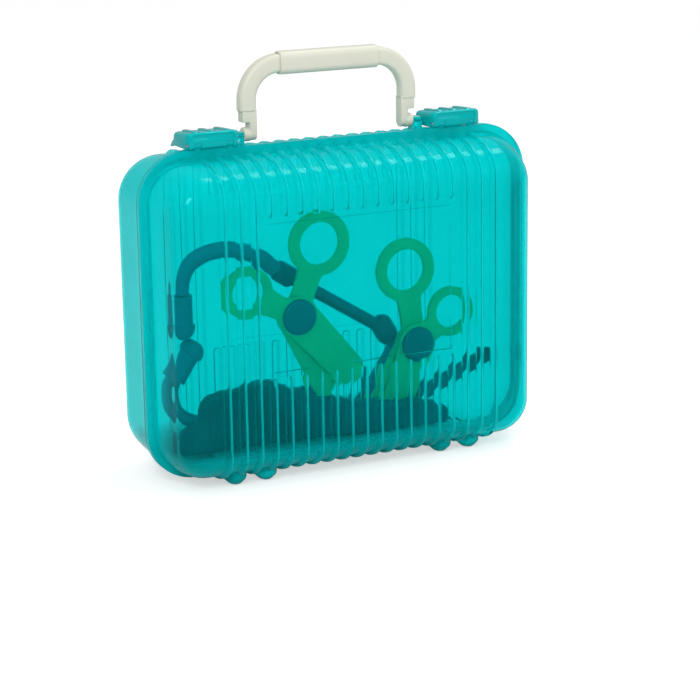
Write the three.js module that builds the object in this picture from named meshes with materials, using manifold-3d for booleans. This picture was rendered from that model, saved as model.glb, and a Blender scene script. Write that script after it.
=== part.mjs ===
// Toy doctor case: a see-through ribbed carry case with a folding handle, two snap latches
// and toy instruments inside. Millimetres, +Z up, the lid faces -Y, feet stand on z = 0.
import * as THREE from 'three';
import { mergeVertices } from 'three/addons/utils/BufferGeometryUtils.js';
import Module from 'manifold-3d';

const wasm = await Module();
wasm.setup();

// Rim that both halves share, seen from the front
const rimWidth = 280;
const rimHeight = 215.5;
const rimLift = 3;
const rimCornerRadius = 33;
const rimEdge = 1;
const wall = 2;

// Small gaps: between parts that touch, and round parts that turn
const seatGap = 0.3;
const runningGap = 0.25;
const overrun = 5;
const weldDistance = 0.0001;

// Lid, the shallower front half
const lidDepth = 37.2;
const lidFlange = 4;
const lidSideOverhang = 5.5;
const lidSideDraft = 5;
const lidTopOverhang = 6;
const lidTopDraft = 2;
const lidFillet = 14;

// Back shell, the deeper half
const backDepth = 57;
const backFlange = 3;
const backSideOverhang = 3;
const backSideDraft = 2;
const backTopOverhang = 6;
const backTopDraft = 2.2;
const backFillet = 12;

// Underside of both halves
const bottomOverhang = 4;
const bottomDraft = 1.5;

// Lip on the lid that locates it inside the back shell
const lipThickness = 1.4;
const lipReach = 3;
const lipClearance = 0.4;

// Ribs and the plain panel between them
const ribCount = 19;
const ribEndMargin = 9.44;
const fullRibsEachSide = 3;
const ribWidth = 4.6;
const ribHeight = 2.2;
const ribCrestShare = 0.6;
const ribRootShare = 0.4;
const panelHeight = 97;
const panelMiddle = 124.2;
const panelRecess = 0.4;
const panelToRib = 4;
const ribPitch = (rimWidth - 2 * rimCornerRadius - 2 * ribEndMargin) / (ribCount - 1);
const panelWidth = (ribCount - 1 - 2 * fullRibsEachSide) * ribPitch;

// Feet, enlarged ribs under both halves
const footRibs = [2, 4, 16, 18];
const footWidth = 11;
const footLength = 15;
const lidFootSetback = 21;
const backFootSetback = 32;

// Hinges along the bottom of the rim
const hingeRibsFromMiddle = 7;
const hingeSpread = hingeRibsFromMiddle * ribPitch;
const hingeKnuckleRadius = 2.4;
const hingeFloorGap = 0.4;
const hingePinRadius = 1.1;
const hingeMiddleKnuckle = 15;
const hingeEndKnuckle = 9;

// Latches
const latchWidth = 36;
const latchToCorner = 1.3;
const latchSpread = rimWidth / 2 - rimCornerRadius - latchToCorner - latchWidth / 2;
const latchFrontHeight = 10.6;
const latchRearHeight = 8.6;
const latchLength = 27;
const latchWall = 1.8;
const latchLipReach = 5.5;
const latchBarrelRadius = 2.4;
const latchPinRadius = 1.1;
const latchPinSetback = 1.8;
const latchRidgePitch = 10.8;
const latchRidgeWidth = 1.4;
const latchRidgeRise = 0.5;
const latchRidgeLength = 17;
const latchWindowWidth = 28;
const latchWindowHeight = 4;
const latchWindowDepth = 0.6;
const latchEarSpread = 11;
const latchEarWidth = 4;
const latchEarStem = 2.4;
const catchWidth = 16;
const catchThickness = 3;
const catchSetback = 9;

// Handle
const handlePinSetback = 12;
const handlePinRise = 4.7;
const handlePinRadius = 2;
const handleRise = 52;
const handleBar = 12;
const handleSideBar = 11.3;
const handleDepth = 9.6;
const handleOuterCorner = 29;
const handleInnerCorner = 17;
const handleStep = 1.4;
const handleCoverRise = 15;
const handleStopRise = 8;
const handleLegWidth = 5.1;
const handleDiscRadius = 4.6;
const handleDiscWidth = 4;
const handleBevel = 1.6;
const gripHeight = 15;
const gripDepth = 12.4;
const gripCorner = 4.5;
const gripBevel = 1;
const bracketWidth = 6;
const bracketBase = 12;
const bracketTop = 7;
const bracketRise = 2;
const bracketMouth = 3.2;
const bracketToLatch = 1.9;

// Scissors, one design used twice
const scissorPlate = 3;
const scissorBladeWidth = 27;
const scissorTipWidth = 22;
const scissorBossRadius = 14;
const scissorLargeRing = 22;
const scissorLargeHole = 14.4;
const scissorSmallRing = 17.5;
const scissorSmallHole = 11.5;
const scissorShank = 20;
const scissorWaistShare = 0.8;
const scissorRivetRadius = 3;
const scissorFrontCap = 12.2;
const scissorRearCap = 10.9;
const scissorCapHeight = 4;

// First scissors: pivot place, then ring reach and lean, blade length and lean of each half
const firstPivot = { x: -26.7, y: 9.15, z: 99.2 };
const firstFront = { reach: 41.3, ringLean: -60.9, blade: 65, bladeLean: 42 };
const firstRear = { reach: 50.5, ringLean: 20.6, blade: 62.5, bladeLean: 24 };

// Second scissors, standing on the shell's floor
const secondPivot = { x: 67.7, y: 20 };
const secondFront = { reach: 33, ringLean: 52.9, blade: 60, bladeLean: -21.7 };
const secondRear = { reach: 52.6, ringLean: -7.4, blade: 60, bladeLean: -31 };

// Stethoscope headset
const stethoscopeY = 36;
const upperTubeRadius = 5.5;
const lowerTubeRadius = 3.9;
const armRadius = 4.4;
const tipSleeveRadius = 7.7;
const tipSleeveLength = 20;
const tipBulbRadius = 9.2;
const tipBulbLength = 10;
const firstTipPlace = { x: -98.4, z: 116.2 };
const secondTipPlace = { x: -106.1, z: 59.8 };
const secondTipLean = 37;
const collarPlace = { x: -23.4, z: 122.4 };
const collarRadius = 7.4;
const collarLength = 14;
const armLean = 123.5;
const yokePlace = { x: 51.6, z: 75 };
const yokeLean = 150;
const yokeForkLean = -26;
const yokeForkRadius = 2.4;
const yokeForkLength = 11;
const yokeRadius = 7.8;
const yokeLength = 17;

// Arm cuff and tool handle
const cuffThickness = 11;
const cuffCorner = 3.5;
const toolWidth = 9.4;
const toolThickness = 6.4;
const toolY = 26.8;
const toolLowX = 46;
const toolHighZ = 49.5;

// Facet counts
const cornerSteps = 5;
const filletSteps = 4;
const roundSides = 18;
const pinSides = 12;
const tubeSides = 8;
const upperTubeSteps = 20;
const lowerTubeSteps = 30;
const gripSteps = 3;

// Places that follow from the sizes above
const rimTop = rimLift + rimHeight;
const panelTop = panelMiddle + panelHeight / 2;
const panelBottom = panelMiddle - panelHeight / 2;
const hingeHeight = hingeFloorGap + hingeKnuckleRadius;
const latchPinHeight = rimTop + seatGap + latchBarrelRadius;
const latchPinPlace = -latchPinSetback;
const handlePinHeight = rimTop + handlePinRise;
const discFace = latchSpread - latchWidth / 2 - bracketToLatch - bracketWidth - seatGap;
const handleInnerWidth = 2 * (discFace - handleDiscWidth - handleLegWidth);
const handleOuterWidth = handleInnerWidth + 2 * handleSideBar;
const gripLength = handleInnerWidth - 2 * handleInnerCorner;
const wholeDepthShift = (lidDepth - backDepth) / 2;

// Solids

// Signed volume of a closed indexed skin: negative where its faces point inward
function signedVolume(geometry) {
  const place = geometry.attributes.position;
  const index = geometry.index.array;
  const [a, b, c] = [new THREE.Vector3(), new THREE.Vector3(), new THREE.Vector3()];
  let volume = 0;
  for (let i = 0; i < index.length; i += 3) {
    a.fromBufferAttribute(place, index[i]);
    b.fromBufferAttribute(place, index[i + 1]);
    c.fromBufferAttribute(place, index[i + 2]);
    volume += a.dot(b.cross(c));
  }
  return volume;
}

function solidOf(geometry) {
  const bare = geometry.index ? geometry.toNonIndexed() : geometry.clone();
  bare.deleteAttribute('normal');
  bare.deleteAttribute('uv');
  const merged = mergeVertices(bare, weldDistance);
  const faces = new Uint32Array(merged.index.array);
  if (signedVolume(merged) < 0) {
    faces.reverse();
  }
  return new wasm.Manifold(new wasm.Mesh({
    numProp: 3,
    vertProperties: new Float32Array(merged.attributes.position.array),
    triVerts: faces,
  }));
}

function geometryOf(solid) {
  const mesh = solid.getMesh();
  const points = new Float32Array(mesh.numVert * 3);
  for (let i = 0; i < mesh.numVert; i += 1) {
    for (let k = 0; k < 3; k += 1) {
      points[i * 3 + k] = mesh.vertProperties[i * mesh.numProp + k];
    }
  }
  const geometry = new THREE.BufferGeometry();
  geometry.setAttribute('position', new THREE.BufferAttribute(points, 3));
  geometry.setIndex(Array.from(mesh.triVerts));
  geometry.computeVertexNormals();
  return geometry;
}

function joined(solids) {
  return solids.reduce((whole, piece) => whole.add(piece));
}

function cut(solid, tools) {
  return tools.reduce((whole, tool) => whole.subtract(tool), solid);
}

// Skin over rings of equal point count, closed by a fan at each end
function loft(rings) {
  const count = rings[0].length;
  const points = rings.flat();
  const faces = [];
  for (let r = 0; r + 1 < rings.length; r += 1) {
    for (let i = 0; i < count; i += 1) {
      const j = (i + 1) % count;
      const near = r * count;
      const far = near + count;
      faces.push([near + i, near + j, far + j], [near + i, far + j, far + i]);
    }
  }
  const last = (rings.length - 1) * count;
  for (let i = 1; i + 1 < count; i += 1) {
    faces.push([0, i + 1, i], [last, last + i, last + i + 1]);
  }
  const geometry = new THREE.BufferGeometry().setFromPoints(points);
  geometry.setIndex(faces.flat());
  return geometry;
}

// Extrusion of an outline drawn across (y, z), running along x and centred there
function alongX(outline, length, bevel = 0) {
  const shape = new THREE.Shape(outline.map(([y, z]) => new THREE.Vector2(y, z)));
  const geometry = new THREE.ExtrudeGeometry(shape, {
    depth: length - 2 * bevel,
    bevelEnabled: bevel > 0,
    bevelThickness: bevel,
    bevelSize: bevel,
    bevelOffset: -bevel,
    bevelSegments: 1,
  });
  geometry.translate(0, 0, bevel - length / 2);
  geometry.applyMatrix4(new THREE.Matrix4().makeBasis(
    new THREE.Vector3(0, 1, 0),
    new THREE.Vector3(0, 0, 1),
    new THREE.Vector3(1, 0, 0),
  ));
  return geometry;
}

// Extrusion of a shape drawn across (x, z), running along y and centred there
function alongY(shape, thickness, bevel = 0) {
  const geometry = new THREE.ExtrudeGeometry(shape, {
    depth: thickness - 2 * bevel,
    bevelEnabled: bevel > 0,
    bevelThickness: bevel,
    bevelSize: bevel,
    bevelOffset: -bevel,
    bevelSegments: 1,
    curveSegments: cornerSteps,
  });
  geometry.translate(0, 0, bevel - thickness / 2);
  geometry.rotateX(Math.PI / 2);
  return geometry;
}

function box(xs, ys, zs) {
  const geometry = new THREE.BoxGeometry(xs[1] - xs[0], ys[1] - ys[0], zs[1] - zs[0]);
  geometry.translate((xs[0] + xs[1]) / 2, (ys[0] + ys[1]) / 2, (zs[0] + zs[1]) / 2);
  return geometry;
}

// Round bar along x between two places
function barAlongX(radius, from, to, y, z, sides = pinSides) {
  const geometry = new THREE.CylinderGeometry(radius, radius, to - from, sides);
  geometry.rotateZ(Math.PI / 2);
  geometry.translate((from + to) / 2, y, z);
  return geometry;
}

// Shells

const lidShape = {
  direction: -1,
  depth: lidDepth,
  flange: lidFlange,
  side: [lidSideOverhang, lidSideDraft],
  top: [lidTopOverhang, lidTopDraft],
  fillet: lidFillet,
  footSetback: lidFootSetback,
};

const backShape = {
  direction: 1,
  depth: backDepth,
  flange: backFlange,
  side: [backSideOverhang, backSideDraft],
  top: [backTopOverhang, backTopDraft],
  fillet: backFillet,
  footSetback: backFootSetback,
};

// How far the straight wall stands inside the rim at a depth
function wallInset(shape, depth) {
  const share = depth / shape.depth;
  return {
    side: shape.side[0] + shape.side[1] * share,
    top: shape.top[0] + shape.top[1] * share,
    bottom: bottomOverhang + bottomDraft * share,
  };
}

function deeper(inset, extra) {
  return { side: inset.side + extra, top: inset.top + extra, bottom: inset.bottom + extra };
}

// Height of the back shell's floor at a place behind the rim
function floorAt(y) {
  const share = Math.min(y / (backDepth - backFillet), 1);
  return rimLift + bottomOverhang + bottomDraft * share + wall;
}

// Rounded rectangle of the rim, drawn in by an inset and placed at y
function rimRing(inset, y) {
  const left = -rimWidth / 2 + inset.side;
  const right = -left;
  const low = rimLift + inset.bottom;
  const high = rimTop - inset.top;
  const radius = Math.max(rimCornerRadius - inset.side, wall);
  const corners = [
    [right - radius, high - radius, 0],
    [left + radius, high - radius, 1],
    [left + radius, low + radius, 2],
    [right - radius, low + radius, 3],
  ];
  const ring = [];
  for (const [x, z, quarter] of corners) {
    for (let i = 0; i <= cornerSteps; i += 1) {
      const angle = (quarter + i / cornerSteps) * Math.PI / 2;
      ring.push(new THREE.Vector3(x + radius * Math.cos(angle), y, z + radius * Math.sin(angle)));
    }
  }
  return ring;
}

// Rings of the round edge between the straight wall and the flat face
function filletRings(shape, fillet, faceDepth, inset) {
  const rings = [];
  for (let i = 0; i <= filletSteps; i += 1) {
    const angle = i / filletSteps * Math.PI / 2;
    const depth = faceDepth - fillet * (1 - Math.sin(angle));
    rings.push(rimRing(deeper(inset, fillet * (1 - Math.cos(angle))), shape.direction * depth));
  }
  return rings;
}

function shellOutside(shape) {
  const at = (depth) => shape.direction * depth;
  const none = { side: 0, top: 0, bottom: 0 };
  return solidOf(loft([
    rimRing(none, at(seatGap / 2)),
    rimRing(none, at(shape.flange - rimEdge)),
    rimRing(deeper(none, rimEdge), at(shape.flange)),
    rimRing(wallInset(shape, 0), at(shape.flange)),
    ...filletRings(shape, shape.fillet, shape.depth, wallInset(shape, shape.depth)),
  ]));
}

function shellHollow(shape) {
  const mouth = deeper(wallInset(shape, 0), wall);
  const deep = deeper(wallInset(shape, shape.depth), wall);
  return solidOf(loft([
    rimRing(mouth, -shape.direction * overrun),
    rimRing(mouth, 0),
    ...filletRings(shape, shape.fillet - wall, shape.depth - wall, deep),
  ]));
}

// Places and outward directions along the shell's outside, in (y, z), from rim to face
function edgePath(shape, upward) {
  const rimInset = wallInset(shape, 0);
  const faceInset = wallInset(shape, shape.depth);
  const height = (inset) => (upward ? rimTop - inset.top : rimLift + inset.bottom);
  const sign = upward ? 1 : -1;
  const path = [{
    y: shape.direction * shape.flange / 2,
    z: height(rimInset),
    normal: new THREE.Vector3(0, 0, sign),
  }];
  for (let i = 0; i <= filletSteps; i += 1) {
    const angle = i / filletSteps * Math.PI / 2;
    path.push({
      y: shape.direction * (shape.depth - shape.fillet * (1 - Math.sin(angle))),
      z: height(faceInset) - sign * shape.fillet * (1 - Math.cos(angle)),
      normal: new THREE.Vector3(0, shape.direction * Math.sin(angle), sign * Math.cos(angle)),
    });
  }
  return path;
}

// Section of a rib as shares of its width and height
const ribSectionShares = [
  [-0.5, -ribRootShare],
  [-ribCrestShare / 2, 1],
  [ribCrestShare / 2, 1],
  [0.5, -ribRootShare],
];

function ribRing(x, place, grow = 1) {
  return ribSectionShares.map(([across, up]) => {
    const lift = ribHeight * (up > 0 ? up * grow : up);
    return new THREE.Vector3(
      x + ribWidth * across * (grow < 1 ? ribCrestShare : 1),
      place.y + place.normal.y * lift,
      place.z + place.normal.z * lift,
    );
  });
}

function rib(x, path) {
  return solidOf(loft(path.map((place) => ribRing(x, place, place.grow ?? 1))));
}

// A rib that leaves the rim, rounds the edge and stops with a tapered end on the face
function splitRib(shape, x, upward) {
  const path = edgePath(shape, upward);
  const normal = new THREE.Vector3(0, shape.direction, 0);
  const y = shape.direction * shape.depth;
  const stop = upward ? panelTop + panelToRib : panelBottom - panelToRib;
  const sign = upward ? 1 : -1;
  path.push({ y, z: stop + sign * ribWidth / 2, normal });
  path.push({ y, z: stop, normal, grow: ribCrestShare });
  return rib(x, path);
}

function fullRib(shape, x) {
  return rib(x, [...edgePath(shape, true), ...edgePath(shape, false).reverse()]);
}

function ribs(shape) {
  const middle = (ribCount + 1) / 2;
  const solids = [];
  for (let number = 1; number <= ribCount; number += 1) {
    const x = (number - middle) * ribPitch;
    if (Math.min(number, ribCount + 1 - number) <= fullRibsEachSide) {
      solids.push(fullRib(shape, x));
    } else {
      solids.push(splitRib(shape, x, true), splitRib(shape, x, false));
    }
  }
  return solids;
}

// Share of the foot's height, then of its width and length
const footShares = [[0, 0.4], [0.12, 0.6], [0.4, 0.82], [1, 1]];

function foot(shape, x) {
  const middleY = shape.direction * shape.footSetback;
  const height = rimLift + bottomOverhang + bottomDraft + wall;
  const rings = footShares.map(([up, size]) => {
    const ring = [];
    for (let i = 0; i < pinSides; i += 1) {
      const angle = (i + 1 / 2) / pinSides * 2 * Math.PI;
      ring.push(new THREE.Vector3(
        x + Math.cos(angle) * size * footWidth / 2,
        middleY + Math.sin(angle) * size * footLength / 2,
        height * up,
      ));
    }
    return ring;
  });
  return solidOf(loft(rings));
}

function feet(shape) {
  const middle = (ribCount + 1) / 2;
  return footRibs.map((number) => foot(shape, (number - middle) * ribPitch));
}

// Shallow plain panel in the middle of the face
function panelCut(shape) {
  const faceY = shape.direction * shape.depth;
  const ys = [faceY - panelRecess, faceY + overrun];
  if (shape.direction < 0) {
    ys[0] = faceY - overrun;
    ys[1] = faceY + panelRecess;
  }
  return solidOf(box([-panelWidth / 2, panelWidth / 2], ys, [panelBottom, panelTop]));
}

// Hinges

// Spans along x of the middle knuckle or of the two end knuckles, for one hinge
function knuckleSpans(centre, middle) {
  const half = hingeMiddleKnuckle / 2;
  const start = half + seatGap;
  return middle
    ? [[centre - half, centre + half]]
    : [[centre - start - hingeEndKnuckle, centre - start], [centre + start, centre + start + hingeEndKnuckle]];
}

function knuckles(middle, radius, grow) {
  return [-hingeSpread, hingeSpread].flatMap((centre) => knuckleSpans(centre, middle)
    .map(([from, to]) => solidOf(barAlongX(radius, from - grow, to + grow, 0, hingeHeight, roundSides))));
}

function hingeBores() {
  const half = hingeMiddleKnuckle / 2 + hingeEndKnuckle + overrun;
  return [-hingeSpread, hingeSpread].map((centre) => solidOf(
    barAlongX(hingePinRadius + runningGap, centre - half, centre + half, 0, hingeHeight),
  ));
}

function hingePin() {
  const half = hingeMiddleKnuckle / 2 + hingeEndKnuckle;
  return barAlongX(hingePinRadius, -half, half, 0, 0);
}

// Lid

// Thin wall that stands inside the back shell's mouth
function locatingLip() {
  const outside = deeper(wallInset(backShape, 0), wall + lipClearance);
  const inside = deeper(outside, lipThickness);
  const root = deeper(outside, -lipThickness);
  const rootDepth = -lidFlange / 2;
  const outer = solidOf(loft([
    rimRing(root, rootDepth),
    rimRing(root, -seatGap / 2),
    rimRing(outside, -seatGap / 2),
    rimRing(outside, lipReach),
  ]));
  const inner = solidOf(loft([
    rimRing(inside, rootDepth - overrun),
    rimRing(inside, lipReach + overrun),
  ]));
  return outer.subtract(inner);
}

// Ear of the lid that carries a latch's pin
function latchEar(x) {
  const span = [x - latchEarWidth / 2, x + latchEarWidth / 2];
  const ys = [latchPinPlace - latchEarStem / 2, latchPinPlace + latchEarStem / 2];
  return [
    solidOf(barAlongX(latchBarrelRadius, span[0], span[1], latchPinPlace, latchPinHeight, roundSides)),
    solidOf(box(span, ys, [rimTop - rimEdge, latchPinHeight])),
  ];
}

function latchEars() {
  const places = [-1, 1].flatMap((side) => [-1, 1]
    .map((ear) => side * latchSpread + ear * latchEarSpread));
  return places.flatMap(latchEar);
}

function latchBore(centre) {
  const half = latchWidth / 2 + overrun;
  return solidOf(barAlongX(
    latchPinRadius + runningGap,
    centre - half,
    centre + half,
    latchPinPlace,
    latchPinHeight,
  ));
}

function lidShell() {
  const body = joined([
    shellOutside(lidShape),
    ...ribs(lidShape),
    ...feet(lidShape),
    ...knuckles(true, hingeKnuckleRadius, 0),
    ...latchEars(),
  ]);
  const hollowed = cut(body, [shellHollow(lidShape), panelCut(lidShape)]);
  return cut(hollowed.add(locatingLip()), [
    ...knuckles(false, hingeKnuckleRadius + seatGap, seatGap),
    ...hingeBores(),
    latchBore(-latchSpread),
    latchBore(latchSpread),
  ]);
}

// Back shell

// Block with a snap-in groove that holds one handle pin
function handleBracket(side) {
  const inner = discFace + seatGap;
  const base = rimTop - backTopOverhang - backTopDraft - wall / 2;
  const crown = handlePinHeight + bracketRise;
  const outline = [
    [handlePinSetback - bracketBase / 2, base],
    [handlePinSetback + bracketBase / 2, base],
    [handlePinSetback + bracketTop / 2, crown],
    [handlePinSetback - bracketTop / 2, crown],
  ];
  const block = alongX(outline, bracketWidth);
  block.translate(side * (inner + bracketWidth / 2), 0, 0);
  const reach = [inner - overrun, inner + bracketWidth + overrun].map((x) => side * x);
  reach.sort((a, b) => a - b);
  const bore = barAlongX(
    handlePinRadius + runningGap,
    reach[0],
    reach[1],
    handlePinSetback,
    handlePinHeight,
    roundSides,
  );
  const mouth = box(
    reach,
    [handlePinSetback - bracketMouth / 2, handlePinSetback + bracketMouth / 2],
    [handlePinHeight, crown + overrun],
  );
  return cut(solidOf(block), [solidOf(bore), solidOf(mouth)]);
}

// Low block behind the rim that the latch's nose closes on
function latchCatch(centre) {
  const base = rimTop - backTopOverhang - backTopDraft - wall / 2;
  return solidOf(box(
    [centre - catchWidth / 2, centre + catchWidth / 2],
    [catchSetback, catchSetback + catchThickness],
    [base, rimTop],
  ));
}

function backShell() {
  const body = joined([
    shellOutside(backShape),
    ...ribs(backShape),
    ...feet(backShape),
    ...knuckles(false, hingeKnuckleRadius, 0),
    handleBracket(-1),
    handleBracket(1),
    latchCatch(-latchSpread),
    latchCatch(latchSpread),
  ]);
  return cut(body, [
    shellHollow(backShape),
    panelCut(backShape),
    ...knuckles(true, hingeKnuckleRadius + seatGap, seatGap),
    ...hingeBores(),
  ]);
}

// Latch, drawn about its pin: y runs back from the pin, z up from it

function latch() {
  const r = latchBarrelRadius;
  const frontTop = latchFrontHeight - r;
  const rearTop = latchRearHeight - r;
  const rear = latchLength - r;
  const outline = [
    [-r, 0],
    [0, -r],
    [latchLength / 2, -r],
    [rear, -r - seatGap],
    [rear + latchLipReach, -r - latchWall],
    [rear + latchLipReach, -r - latchWall / 3],
    [rear + latchWall, 0],
    [rear, rearTop - latchWall],
    [rear - latchWall, rearTop],
    [-r + latchWall / 2, frontTop],
    [-r, frontTop - latchWall / 2],
  ];
  const hollow = [
    [-r + latchWall, -r - overrun],
    [-r + latchWall, frontTop - latchWall],
    [rear - 2 * latchWall, rearTop - latchWall],
    [rear - latchWall, -r - overrun],
  ];
  const barrel = barAlongX(r, -latchWidth / 2, latchWidth / 2, 0, 0, roundSides);
  const noseFront = catchSetback + latchPinSetback;
  const nose = box(
    [-catchWidth / 2, catchWidth / 2],
    [noseFront, noseFront + catchThickness],
    [-r, rearTop],
  );
  const shell = cut(solidOf(alongX(outline, latchWidth, latchWall / 3)), [
    solidOf(alongX(hollow, latchWidth - 2 * latchWall)),
  ]);
  const whole = joined([shell, solidOf(barrel), solidOf(nose), ...latchRidges(frontTop)]);
  return cut(whole, latchCuts(frontTop));
}

// Finger ridges: level fins that stand proud where the top falls away behind
function latchRidges(frontTop) {
  const front = -latchBarrelRadius + latchWall;
  const crest = frontTop + latchRidgeRise;
  const foot = latchRearHeight - latchBarrelRadius - latchWall / 2;
  return [-1, 0, 1].map((place) => {
    const outline = [
      [front, foot],
      [front + latchRidgeLength, foot],
      [front + latchRidgeLength, crest - latchRidgeRise],
      [front + latchRidgeLength - latchRidgeRise, crest],
      [front + latchRidgeRise, crest],
      [front, crest - latchRidgeRise],
    ];
    const ridge = alongX(outline, latchRidgeWidth);
    ridge.translate(place * latchRidgePitch, 0, 0);
    return solidOf(ridge);
  });
}

// Pin bore, notches round the lid's ears and the shallow front window
function latchCuts(top) {
  const half = latchWidth / 2 + overrun;
  const notchHalf = latchEarWidth / 2 + seatGap;
  const notchRadius = latchBarrelRadius + seatGap;
  const notches = [-latchEarSpread, latchEarSpread].map((x) => solidOf(
    barAlongX(notchRadius, x - notchHalf, x + notchHalf, 0, 0, roundSides),
  ));
  const windowTop = top - latchWall / 2;
  const window = box(
    [-latchWindowWidth / 2, latchWindowWidth / 2],
    [-latchBarrelRadius - overrun, -latchBarrelRadius + latchWindowDepth],
    [windowTop - latchWindowHeight, windowTop],
  );
  return [
    solidOf(barAlongX(latchPinRadius + runningGap, -half, half, 0, 0)),
    ...notches,
    solidOf(window),
  ];
}

function latchPin() {
  const half = latchWidth / 2 - seatGap;
  return barAlongX(latchPinRadius, -half, half, 0, 0);
}

// Handle, drawn about its pin line: z up from it, upright

// Outline of an arch: straight legs, round corners, open below
function archShape(outerHalf, innerHalf, outerTop, innerTop, outerRadius, innerRadius, foot) {
  const shape = new THREE.Shape();
  shape.moveTo(-outerHalf, foot);
  shape.lineTo(-outerHalf, outerTop - outerRadius);
  shape.absarc(-outerHalf + outerRadius, outerTop - outerRadius, outerRadius, Math.PI, Math.PI / 2, true);
  shape.lineTo(outerHalf - outerRadius, outerTop);
  shape.absarc(outerHalf - outerRadius, outerTop - outerRadius, outerRadius, Math.PI / 2, 0, true);
  shape.lineTo(outerHalf, foot);
  shape.lineTo(innerHalf, foot);
  shape.lineTo(innerHalf, innerTop - innerRadius);
  shape.absarc(innerHalf - innerRadius, innerTop - innerRadius, innerRadius, 0, Math.PI / 2, false);
  shape.lineTo(-innerHalf + innerRadius, innerTop);
  shape.absarc(-innerHalf + innerRadius, innerTop - innerRadius, innerRadius, Math.PI / 2, Math.PI, false);
  shape.lineTo(-innerHalf, foot);
  shape.closePath();
  return shape;
}

function handleLeg(side) {
  const inner = handleInnerWidth / 2;
  const leg = inner + handleLegWidth;
  const stop = handleOuterWidth / 2 - handleStep;
  const half = handleDepth / 2 - handleStep / 2;
  const across = (a, b) => [side * a, side * b].sort((p, q) => p - q);
  const legSpan = across(inner, leg);
  const discSpan = across(leg - handleStep, discFace);
  return [
    solidOf(box(legSpan, [-half, half], [0, handleCoverRise + handleStep])),
    solidOf(barAlongX(half, legSpan[0], legSpan[1], 0, 0, roundSides)),
    solidOf(box(across(inner, stop), [-half, half], [handleStopRise, handleCoverRise + handleStep])),
    solidOf(barAlongX(handleDiscRadius, discSpan[0], discSpan[1], 0, 0, roundSides)),
  ];
}

function handleBail() {
  const arch = archShape(
    handleOuterWidth / 2,
    handleInnerWidth / 2,
    handleRise - (gripHeight - handleBar) / 2,
    handleRise - (gripHeight - handleBar) / 2 - handleBar,
    handleOuterCorner,
    handleInnerCorner,
    handleCoverRise,
  );
  const whole = joined([
    solidOf(alongY(arch, handleDepth, handleBevel)),
    ...handleLeg(-1),
    ...handleLeg(1),
  ]);
  const depth = discFace - handlePinHold() - seatGap;
  return cut(whole, [-1, 1].map((side) => {
    const span = [side * depth, side * (discFace + overrun)].sort((a, b) => a - b);
    return solidOf(barAlongX(handlePinRadius + runningGap, span[0], span[1], 0, 0, roundSides));
  }));
}

// Length of pin that sits inside the handle
function handlePinHold() {
  return handleDiscWidth + handleStep;
}

function handlePin() {
  const from = discFace - handlePinHold();
  const to = discFace + seatGap + bracketWidth;
  return barAlongX(handlePinRadius, from, to, 0, 0, roundSides);
}

function roundedRectangle(width, height, radius) {
  const shape = new THREE.Shape();
  const x = width / 2;
  const y = height / 2;
  shape.moveTo(-x + radius, -y);
  shape.lineTo(x - radius, -y);
  shape.absarc(x - radius, -y + radius, radius, -Math.PI / 2, 0, false);
  shape.lineTo(x, y - radius);
  shape.absarc(x - radius, y - radius, radius, 0, Math.PI / 2, false);
  shape.lineTo(-x + radius, y);
  shape.absarc(-x + radius, y - radius, radius, Math.PI / 2, Math.PI, false);
  shape.lineTo(-x, -y + radius);
  shape.absarc(-x + radius, -y + radius, radius, Math.PI, 3 * Math.PI / 2, false);
  return shape;
}

function outlineOf(shape) {
  return shape.getPoints(gripSteps).map((p) => [p.x, p.y]);
}

function handleGrip() {
  const sleeve = alongX(outlineOf(roundedRectangle(gripDepth, gripHeight, gripCorner)), gripLength, gripBevel);
  const channel = alongX(outlineOf(roundedRectangle(
    handleDepth + 2 * seatGap,
    handleBar + 2 * seatGap,
    handleBevel,
  )), gripLength + 2 * overrun);
  return cut(solidOf(sleeve), [solidOf(channel)]);
}

// Scissors, drawn about the pivot: plates lie across (x, z), y runs back

// Step along a direction that leans from straight up towards +x
function leaning(distance, degrees) {
  const angle = THREE.MathUtils.degToRad(degrees);
  return { x: distance * Math.sin(angle), z: distance * Math.cos(angle) };
}

function plate(shape, lean = 0) {
  const geometry = alongY(shape, scissorPlate);
  geometry.rotateY(THREE.MathUtils.degToRad(lean));
  return solidOf(geometry);
}

function disc(radius, centre) {
  const points = [];
  for (let i = 0; i < roundSides; i += 1) {
    const angle = i / roundSides * 2 * Math.PI;
    points.push(new THREE.Vector2(
      centre.x + radius * Math.cos(angle),
      centre.z + radius * Math.sin(angle),
    ));
  }
  return new THREE.Shape(points);
}

function hole(radius, centre) {
  return solidOf(alongY(disc(radius, centre), scissorPlate + 2 * overrun));
}

function bladeShape(length) {
  const shape = new THREE.Shape();
  const tip = scissorTipWidth / 2;
  const end = tip - length;
  shape.moveTo(-scissorBladeWidth / 2, 0);
  shape.lineTo(-tip, end);
  shape.absarc(0, end, tip, Math.PI, 2 * Math.PI, false);
  shape.lineTo(scissorBladeWidth / 2, 0);
  shape.closePath();
  return shape;
}

function shankShape(length) {
  const half = scissorShank / 2;
  const waist = half * scissorWaistShare;
  return new THREE.Shape([
    new THREE.Vector2(-half, 0),
    new THREE.Vector2(half, 0),
    new THREE.Vector2(waist, length / 2),
    new THREE.Vector2(half, length),
    new THREE.Vector2(-half, length),
    new THREE.Vector2(-waist, length / 2),
  ]);
}

// One half: finger ring, shank, boss and blade; the blade's lean is from straight down to +x
function scissorHalf(half, ring, ringHole) {
  const centre = leaning(half.reach, half.ringLean);
  const pivot = { x: 0, z: 0 };
  const body = joined([
    plate(bladeShape(half.blade), -half.bladeLean),
    plate(disc(scissorBossRadius, pivot)),
    plate(shankShape(half.reach - ringHole), half.ringLean),
    plate(disc(ring, centre)),
  ]);
  return cut(body, [
    hole(ringHole, centre),
    hole(scissorRivetRadius + runningGap, pivot),
  ]);
}

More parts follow.
